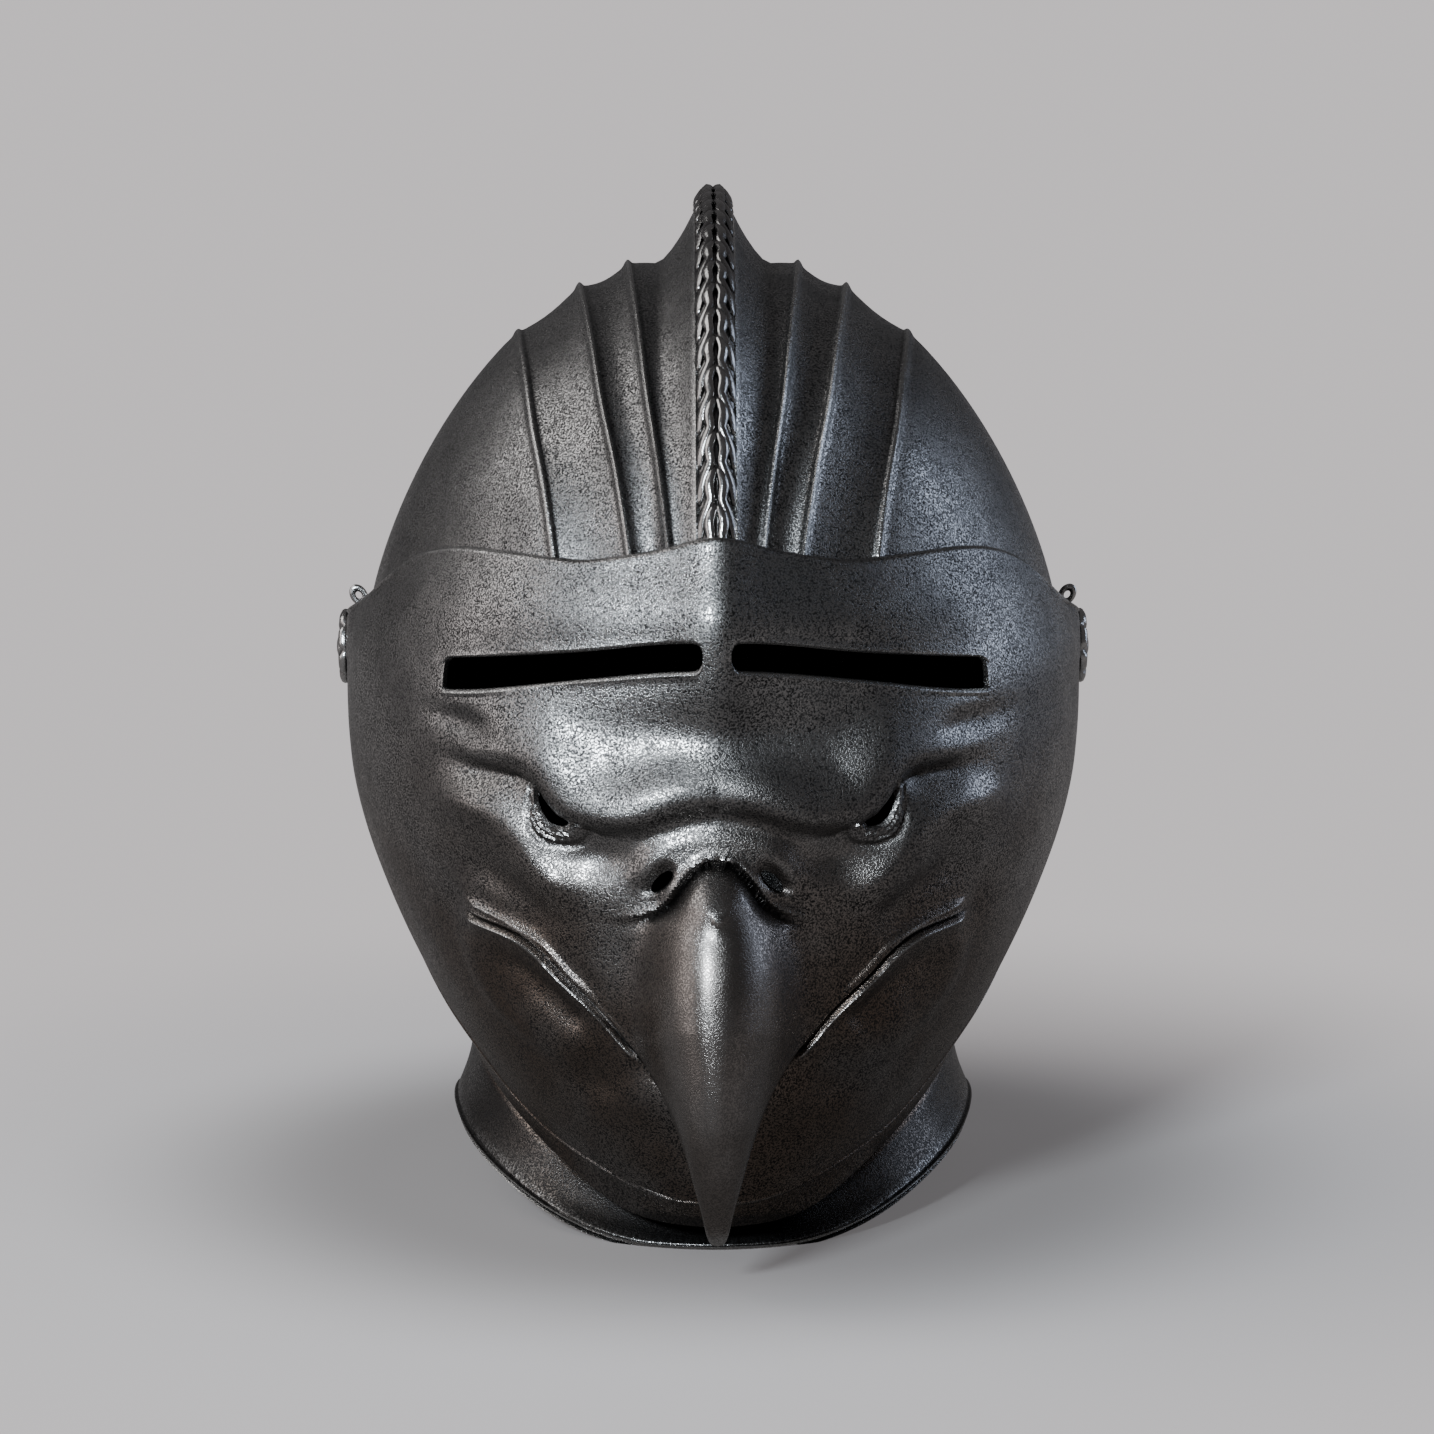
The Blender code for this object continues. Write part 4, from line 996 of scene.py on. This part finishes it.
def skullRows():
    psi = np.concatenate([[16, 16.25, 16.6, 17.1], np.linspace(18, 180, 112)])[:, None]
    c, s = np.cos(np.radians(psi)), np.sin(np.radians(psi))
    poleY = skullShape["poleY"]
    x = ribColumns(psi[:, 0])
    for _ in range(4):
        low, high = np.zeros_like(x), np.full_like(x, 175.0)
        for _ in range(34):
            r = (low + high) / 2
            phi = np.degrees(np.arctan2(r * s, r * c - poleY))
            out = np.hypot(poleY - r * c, r * s) > domeBase(x, phi) + domeRelief(x, phi)
            high, low = np.where(out, r, high), np.where(out, low, r)
        # each column keeps to its own rib as the rib swings
        x = np.stack([ribColumns(phi[:, j])[:, j] for j in range(x.shape[1])], 1)
    top = np.stack([x, poleY - r * c, r * s], -1)
    share = np.concatenate([np.array([0.3, 0.55, 0.8, 1.1, 1.5, 2.0, 2.7, 3.7]) / 100,
                            np.linspace(0.06, 1, 26)])
    rr = (r[:, -1:] - skullShape["ribLift"]) * (1 - share[None, :])
    y, z = poleY - rr * c, rr * s
    phi = np.degrees(np.arctan2(z, -y))
    rho = np.hypot(y, z)
    side = domeSide(rho, phi)
    lift = ribShape(side - ribX(2, phi)) * (share[None, :] < 0.12)
    scale = 1 + lift / np.maximum(rho, 1)
    sides = np.stack([side, y * scale, z * scale], -1)
    dome = np.concatenate([top, sides], 1)
    # down the back
    level = np.linspace(0, 0.94, 40)[1:, None]
    marks = ribColumns(np.full(1, 180.0))
    z = level * creaseZ(180 - 45 * marks / 60)
    x = marks * (1 + z / 500)
    y = backR(z) * np.sqrt(np.clip(1 - (x / backHalf(z)) ** 2, 0, None)) + backRelief(x, z)
    middle = np.stack([x, y, z], -1)
    y3 = y[:, -1:]
    y = y3 + (edgeY(level * creaseZ(90.0)) - y3) * share[None, :]
    z = level * creaseZ(90 + 90 * np.maximum(y, 0) / 118)
    x = np.minimum(backHalf(z) * np.sqrt(np.clip(1 - (y / backR(z)) ** 2, 0, None)), skullShape["poleX"])
    mark = ribX(2, 180.0) * (1 + z / 500)
    lift = ribShape(x - mark) * backFade(z) * (share[None, :] < 0.12)
    back = np.concatenate([middle, np.stack([x, y + lift, z], -1)], 1)
    # the back of the collar
    last = back[-1]
    turn = 180 - np.degrees(np.arctan2(last[:, 0] / sideW(-106.0), last[:, 1] / backR(-126.0)))
    turn = np.maximum(turn, 86.0)
    inset = np.where(turn < 105, plate + gap, (plate + gap) * np.clip(1 - (turn - 105) / 25, 0, None))
    inset = inset * (0.6 + 0.4 * np.minimum(1, (180 - turn) / 60))
    neck = np.array([neckPoints(turn, t, collar["backReach"], inset) for t in collarSteps])
    join = np.array([last * (1 - t) + neck[0] * t for t in (0.33, 0.66)])
    return bothSides(np.concatenate([dome, back, join, neck]))


def collarShare(x, y, z):
    # 0 above the crease, 1 at the collar's rim
    half, reach = collar["middle"]
    turn = np.abs(np.degrees(np.arctan2(x / half, -y / reach)))
    top = creaseZ(turn) - 0.5
    return (top - z) / (top - rimZ(turn))


def closePlate(ob):
    # the plate's wall, a flat filed where it stands on the floor, its pivot holes and what its finish reads
    thicken(ob)
    points = getPoints(ob)
    points[:, 2] = np.maximum(points[:, 2], 0.0)
    setPoints(ob, points)
    boreHoles(ob, 104, 30.0, 40)
    relativeHeight(ob)
    pointMask(ob, "collar", collarShare)
    insideMask(ob)


skull = plateGrid("skullPlate", skullRows())
cleanFaces(skull, weldGap)
faceOut(skull)
closePlate(skull)
finishPiece(skull, "skull", plateSteel, ["skull"], plateAngle)
print("skull plate", len(skull.data.polygons))

# the plaited strand on the comb: pairs of strands laid over each other, pointing up the comb
braid = {
    "pitch": 4.53,
    "first": 15.5,
    "last": 209.0,
    "half": 5.6,
    "path": [(0.35, 0.2), (1.5, 3.0), (2.15, 5.6), (1.75, 8.2), (1.6, 9.9), (2.7, 12.4), (4.1, 15.6),
             (4.75, 18.8), (4.9, 21.6)],
    "width": [0.9, 1.45, 1.6, 1.45, 1.4, 1.55, 1.5, 1.15, 0.6],
    "height": [-0.1, 0.5, 0.75, 0.5, 0.25, 0.2, 0.1, -0.2, -0.7],
    "sunk": 1.7,
    "bedPaintedShade": 0.12,
}


def combRise(phi):
    # how far the comb's crest stands over the dome, or over the back below it
    z = -crest(phi) * np.sin(np.radians(phi - 180))
    behind = np.maximum(crest(phi) - np.hypot(backR(np.minimum(z, 0)), z), 0.0)
    return np.where(phi <= 180, crest(phi) - domeR(phi), behind)


def onComb(u, along, height):
    # u across, along up the comb in degrees, height over the braid's bed
    rise = combRise(along)
    drop = np.minimum(3.3 * (np.abs(u) / braid["half"]) ** 2.3, 0.42 * rise)
    r = crest(along) - drop + (height - braid["sunk"]) * np.minimum(1.0, rise / 5)
    a = np.radians(along)
    return np.stack([u + 0 * r, -r * np.cos(a), r * np.sin(a)], -1)


def braidBed():
    # a strip on the crest under the strands, painted dark as the shade beneath them
    along = np.linspace(braid["first"], braid["last"] + 1.5, 200)[:, None]
    across = np.array([0, 1.3, 2.6, 4.0, 4.9, 5.5, 5.75, 5.6])
    sink = np.array([1.4, 1.2, 1.0, 0.9, 1.0, 1.3, 2.0, 3.6])
    across = np.concatenate([-across[:0:-1], across])[None, :]
    sink = np.concatenate([sink[:0:-1], sink])[None, :]
    ob = plateGrid("braidBed", onComb(across, along, -sink))
    # painted shade: a low value that the finish turns dark
    setValues(ob, "worn", np.full(len(ob.data.vertices), braid["bedPaintedShade"]))
    return ob


def strandMesh(side):
    # one strand: an eight-sided tube that swings out, in and out again, flat at its tail
    across, along = zip(*braid["path"])
    fine = np.linspace(0, len(across) - 1, 15)
    rows = (across, along, braid["width"], braid["height"])
    u, v, wide, high = (smooth(enumerate(row))(fine) for row in rows)
    du, dv = np.gradient(u), np.gradient(v)
    run = np.hypot(du, dv)
    ob = addShape(bpy.ops.mesh.primitive_cylinder_add, "strand", vertices=8, radius=1, depth=1,
                  end_fill_type='NGON')
    bpy.ops.object.mode_set(mode='EDIT')
    bpy.ops.mesh.select_mode(type='EDGE')
    bpy.ops.mesh.select_all(action='DESELECT')
    bpy.ops.object.mode_set(mode='OBJECT')
    for edge in ob.data.edges:
        a, b = (ob.data.vertices[i].co for i in edge.vertices)
        edge.select = abs(a.z - b.z) > 0.5
    bpy.ops.object.mode_set(mode='EDIT')
    bpy.ops.mesh.subdivide_edgering(number_cuts=len(fine) - 2, interpolation='LINEAR')
    bpy.ops.mesh.select_mode(type='VERT')
    bpy.ops.object.mode_set(mode='OBJECT')
    for vertex in ob.data.vertices:
        i = int(round((vertex.co.z + 0.5) * (len(fine) - 1)))
        turn = math.atan2(vertex.co.y, vertex.co.x)
        off = wide[i] * math.cos(turn)
        vertex.co = (side * (u[i] + off * dv[i] / run[i]), -(v[i] - off * du[i] / run[i]),
                     high[i] + wide[i] * 0.95 * math.sin(turn) - 0.5 * wide[i])
    return ob


def makeBraid():
    bed = braidBed()
    parts = [bed]
    perMm = math.degrees(1 / crest(0))
    for side in (-1, 1):
        model = strandMesh(side)
        flat = getPoints(model)
        # painted light on each strand: lighter on its top as a painted highlight, darker low down and further
        # out from the middle as painted shade
        strandPaintedLight = np.clip(0.62 + 0.28 * flat[:, 2] - 0.06 * np.abs(flat[:, 0]), 0.1, 0.95)
        count = int((braid["last"] - braid["first"]) / braid["pitch"]) + 1
        for k in range(1, count):
            start = braid["first"] + k * braid["pitch"]
            ob = model.copy()
            ob.data = model.data.copy()
            bpy.context.scene.collection.objects.link(ob)
            along = np.maximum(start + flat[:, 1] * perMm, braid["first"] - 0.5)
            setPoints(ob, toWorld(onComb(flat[:, 0], along, flat[:, 2])))
            setValues(ob, "worn", strandPaintedLight)
            parts.append(ob)
        bpy.data.objects.remove(model)
    bpy.ops.object.select_all(action='DESELECT')
    for ob in parts:
        ob.select_set(True)
    bpy.context.view_layer.objects.active = bed
    bpy.ops.object.join()
    cleanFaces(bed)
    bed.name = "combBraid"
    return bed


combBraid = makeBraid()
finishPiece(combBraid, "skull", braidSteel, [], 80)
print("braid", len(combBraid.data.polygons))

# bevor: covers the chin inside the visor and turns out into the front of the collar
bevTop = smooth([(0, -80), (25, -77), (45, -68), (60, -46), (72, -18), (80, -2), (86, 6.5), (92, 9), (99, 8)])
bevSweep = smooth([(12, 97), (0, 98.5), (-20, 97.5), (-60, 96), (-120, 97)])


def bevorRows():
    turn = np.concatenate([np.linspace(0, 60, 56), np.linspace(60, 98.4, 28)[1:], [98.65, 98.85, sideTurn]])
    low = np.maximum(np.cos(np.radians(turn)), 0)
    crease = creaseZ(turn)
    rows = []
    for v in edgeSpread([(0, 1), (45, 3.0)], True, False) / 45:
        z = bevTop(turn) * (1 - v) + (crease + 5.5) * v
        x, y = maskBase(turn * bevSweep(z) / sideTurn, z, plate + gap)
        rows.append(np.stack([x, y, z], -1))
    start = rows[-1]
    neckTurn = turn * 97.0 / sideTurn
    neck = [neckPoints(neckTurn, t, collar["frontReach"], 0.0) for t in collarSteps]
    # a soft fold from the chin into the collar
    for t, dz in ((0.14, 3.2), (0.28, 1.2 - 3.4 * low), (0.49, 0.8 - 2.7 * low), (0.7, 0.4 - 2.0 * low),
                  (0.86, 0.2 - 1.0 * low)):
        p = start * (1 - t) + neck[0] * t
        p[:, 2] = crease + dz
        rows.append(p)
    return bothSides(np.array(rows + neck))


bevor = plateGrid("bevorPlate", bevorRows())
closePlate(bevor)
finishPiece(bevor, "bevor", collarSteel, ["bevor"], plateAngle)
print("bevor plate", len(bevor.data.polygons))

# pivots: a petalled rosette, the bolt through it, and the lug's ring on the visor's upper corner
# profiles are (radius, distance out): out from the visor's face, and for the tail from the skull's inner face
fitting = {
    "petals": 8,
    "rosetteR": 11.2,
    "rosette": [(3.0, 1.9), (4.4, 2.35), (6.2, 2.8), (8.2, 2.95), (9.8, 2.75), (10.8, 2.25), (11.2, 1.5),
                (11.1, 0.75), (10.6, 0.35), (10.2, 0.0), (3.0, 0.0)],
    "boltHead": [(3.05, 1.9), (3.9, 2.35), (3.7, 2.95), (2.9, 3.45), (1.6, 3.8), (0.0, 3.95)],
    "boltTail": [(0.0, -2.0), (3.4, -2.0), (4.7, -1.6), (5.3, -0.9), (5.3, -0.4), (3.0, -0.4)],
    "seat": 0.35,
    "lugRing": (1.7, 0.85),
    "lugStretch": 1.35,
    "lugTurn": 32,
    "lugPlace": (105.3, -6.0, 16.1),
}


def turned(name, profile, side, count, shape=None):
    # a profile of (radius, distance out) carried round the pivots' line
    turn = np.linspace(0, 2 * math.pi, count + 1)
    radius, out = (np.array(v, float)[:, None] + 0 * turn[None, :] for v in zip(*profile))
    if shape:
        radius, out = shape(radius, out, turn[None, :])
    x = side * (flatX + fitting["seat"] + out)
    ob = plateGrid(name, np.stack([x, radius * np.cos(turn), radius * np.sin(turn)], -1))
    cleanFaces(ob, weldGap)
    return ob


def petals(radius, out, turn):
    # draws the rosette in and down between its petals
    valley = np.abs(np.cos(fitting["petals"] / 2 * turn)) ** 10
    far = np.clip(radius / fitting["rosetteR"], 0, 1) ** 1.5
    return radius * (1 - 0.045 * valley * far), out * (1 - 0.42 * valley * far)


def finishFitting(ob, body, node, angle):
    relativeHeight(ob)
    finishPiece(ob, body, fittingSteel, [node], angle)


depth = 3 * plate + 2 * gap + fitting["seat"]
tail = [(radius, out - depth) for radius, out in fitting["boltTail"]]
for side, tag in ((-1, "Left"), (1, "Right")):
    rosette = turned("rosette" + tag, fitting["rosette"] + fitting["rosette"][:1], side, 96, petals)
    finishFitting(rosette, "skull", "rosette_" + tag.lower(), 40)
    bolt = turned("bolt" + tag, tail + [(3.0, 1.6)] + fitting["boltHead"], side, 40)
    finishFitting(bolt, "skull", "pivot_bolt_" + tag.lower(), 40)
    major, minor = (0.001 * radius for radius in fitting["lugRing"])
    lug = addShape(bpy.ops.mesh.primitive_torus_add, "lug" + tag, major_segments=40, minor_segments=14,
                   major_radius=major, minor_radius=minor)
    lug.scale = (1.0, fitting["lugStretch"], 1.0)
    lug.rotation_euler = (math.pi / 2, side * math.radians(fitting["lugTurn"]), 0)
    bpy.ops.object.transform_apply(location=False, rotation=True, scale=True)
    x, y, z = fitting["lugPlace"]
    lug.location = toWorld((side * x, y, z))
    bpy.ops.object.transform_apply(location=True, rotation=False, scale=False)
    finishFitting(lug, "visor", "lug_" + tag.lower(), 60)
print("fittings finished")

# floor, light and camera; ranges on the floor are metres from its middle
studio = {
    "lens": 112.9707,
    "distance": 1350.0,
    "tilt": 9.0,
    "turn": 0.5,
    "aimX": 1.2,
    "aimZ": 134.3,
    "paper": (0.735, 0.70, 0.71),
    "ambient": (0.100, 0.096, 0.098),
    "floorPaintedShadow": (0.17, 0.158, 0.154),
    "floorFar": (0.54, 0.505, 0.497),
    "floorMirrored": (0.10, 0.097, 0.095),
    "paintedShadowRange": (0.10, 0.21),
    "evenRange": (0.12, 0.40, 0.16, 1.0),
}
softBoxes = {
    "keySoftBox": {"place": (-0.62, -1.34, 0.82), "aim": 0.15, "size": (0.32, 0.28), "power": 48,
                   "colour": (0.82, 0.92, 1.0)},
    "overheadSoftBox": {"place": (-1.0, 0.18, 1.15), "aim": 0.15, "size": (0.9, 0.9), "power": 7.5,
                        "colour": (1.0, 0.99, 0.98)},
    "leftSoftBox": {"place": (-1.35, -0.25, 0.35), "aim": 0.13, "size": (0.9, 1.0), "power": 5.4,
                    "colour": (1.0, 0.94, 0.93)},
    "coolSoftBox": {"place": (1.30, 0.45, 0.52), "aim": 0.13, "size": (0.5, 0.8), "power": 4.8,
                    "colour": (0.66, 0.78, 1.0)},
}
floor = addShape(bpy.ops.mesh.primitive_plane_add, "studioFloor", size=60, location=(0, 0, 0))
paper = bpy.data.materials.new("palePaper")
paper.use_nodes = True
floor.data.materials.append(paper)


def paperNodes(tree):
    # near the helmet the paper takes its light and shadow, and its colour is darker there as a painted
    # contact shadow; far off it is an even pale tone
    make = nodeMaker(tree)
    shader = tree.nodes["Principled BSDF"]
    shader.inputs["Roughness"].default_value = 0.85
    coord = make('ShaderNodeTexCoord').outputs["Object"]
    far = make('ShaderNodeVectorMath', (0, coord), operation='LENGTH').outputs["Value"]
    # painted shadow: the paper's own colour darkens close to the helmet
    tone = blend(make, between(make, far, *studio["paintedShadowRange"]), studio["floorPaintedShadow"], studio["floorFar"])
    tree.links.new(tone, shader.inputs["Base Color"])
    amount = between(make, far, *studio["evenRange"])
    even, dark = (make('ShaderNodeEmission', ("Color", (*studio[name], 1))).outputs[0]
                  for name in ("paper", "floorMirrored"))
    mixed = make('ShaderNodeMixShader', (0, amount), (1, shader.outputs[0]), (2, even)).outputs[0]
    # the steel mirrors a darker floor than the camera sees
    mirrored = times(make, make('ShaderNodeLightPath').outputs["Is Glossy Ray"], 0.75)
    seen = make('ShaderNodeMixShader', (0, mirrored), (1, mixed), (2, dark))
    tree.links.new(seen.outputs[0], tree.nodes["Material Output"].inputs["Surface"])


paperNodes(paper.node_tree)


def addToScene(name, data):
    ob = bpy.data.objects.new(name, data)
    bpy.context.scene.collection.objects.link(ob)
    return ob


for name, box in softBoxes.items():
    light = bpy.data.lights.new(name, 'AREA')
    light.shape = 'RECTANGLE'
    light.size, light.size_y = box["size"]
    light.energy = box["power"]
    light.color = box["colour"]
    ob = addToScene(name, light)
    ob.location = box["place"]
    way = Vector((0, 0, box["aim"])) - Vector(box["place"])
    ob.rotation_euler = way.to_track_quat('-Z', 'Y').to_euler()
print("floor and lights ready")
world = bpy.data.worlds.new("studioWorld")
bpy.context.scene.world = world
world.use_nodes = True
make = nodeMaker(world.node_tree)
ambient = world.node_tree.nodes["Background"]
ambient.inputs["Color"].default_value = (*studio["ambient"], 1)
backdrop = make('ShaderNodeBackground', ("Color", (*studio["paper"], 1)))
seen = make('ShaderNodeMixShader', (0, make('ShaderNodeLightPath').outputs["Is Camera Ray"]),
            (1, ambient.outputs[0]), (2, backdrop.outputs[0]))
world.node_tree.links.new(seen.outputs[0], world.node_tree.nodes["World Output"].inputs["Surface"])

camera = bpy.data.cameras.new("studioCamera")
camera.lens = studio["lens"]
camera.sensor_width = 36
cameraOb = addToScene("studioCamera", camera)
tilt = math.radians(studio["tilt"])
aim = np.array([studio["aimX"], helmet["shiftY"], studio["aimZ"]]) * 0.001
yaw = math.radians(studio["turn"])
away = np.array([-math.sin(yaw) * math.cos(tilt), -math.cos(yaw) * math.cos(tilt), math.sin(tilt)])
cameraOb.location = aim + away * studio["distance"] * 0.001
cameraOb.rotation_euler = (math.pi / 2 - tilt, 0, -yaw)
bpy.context.scene.camera = cameraOb
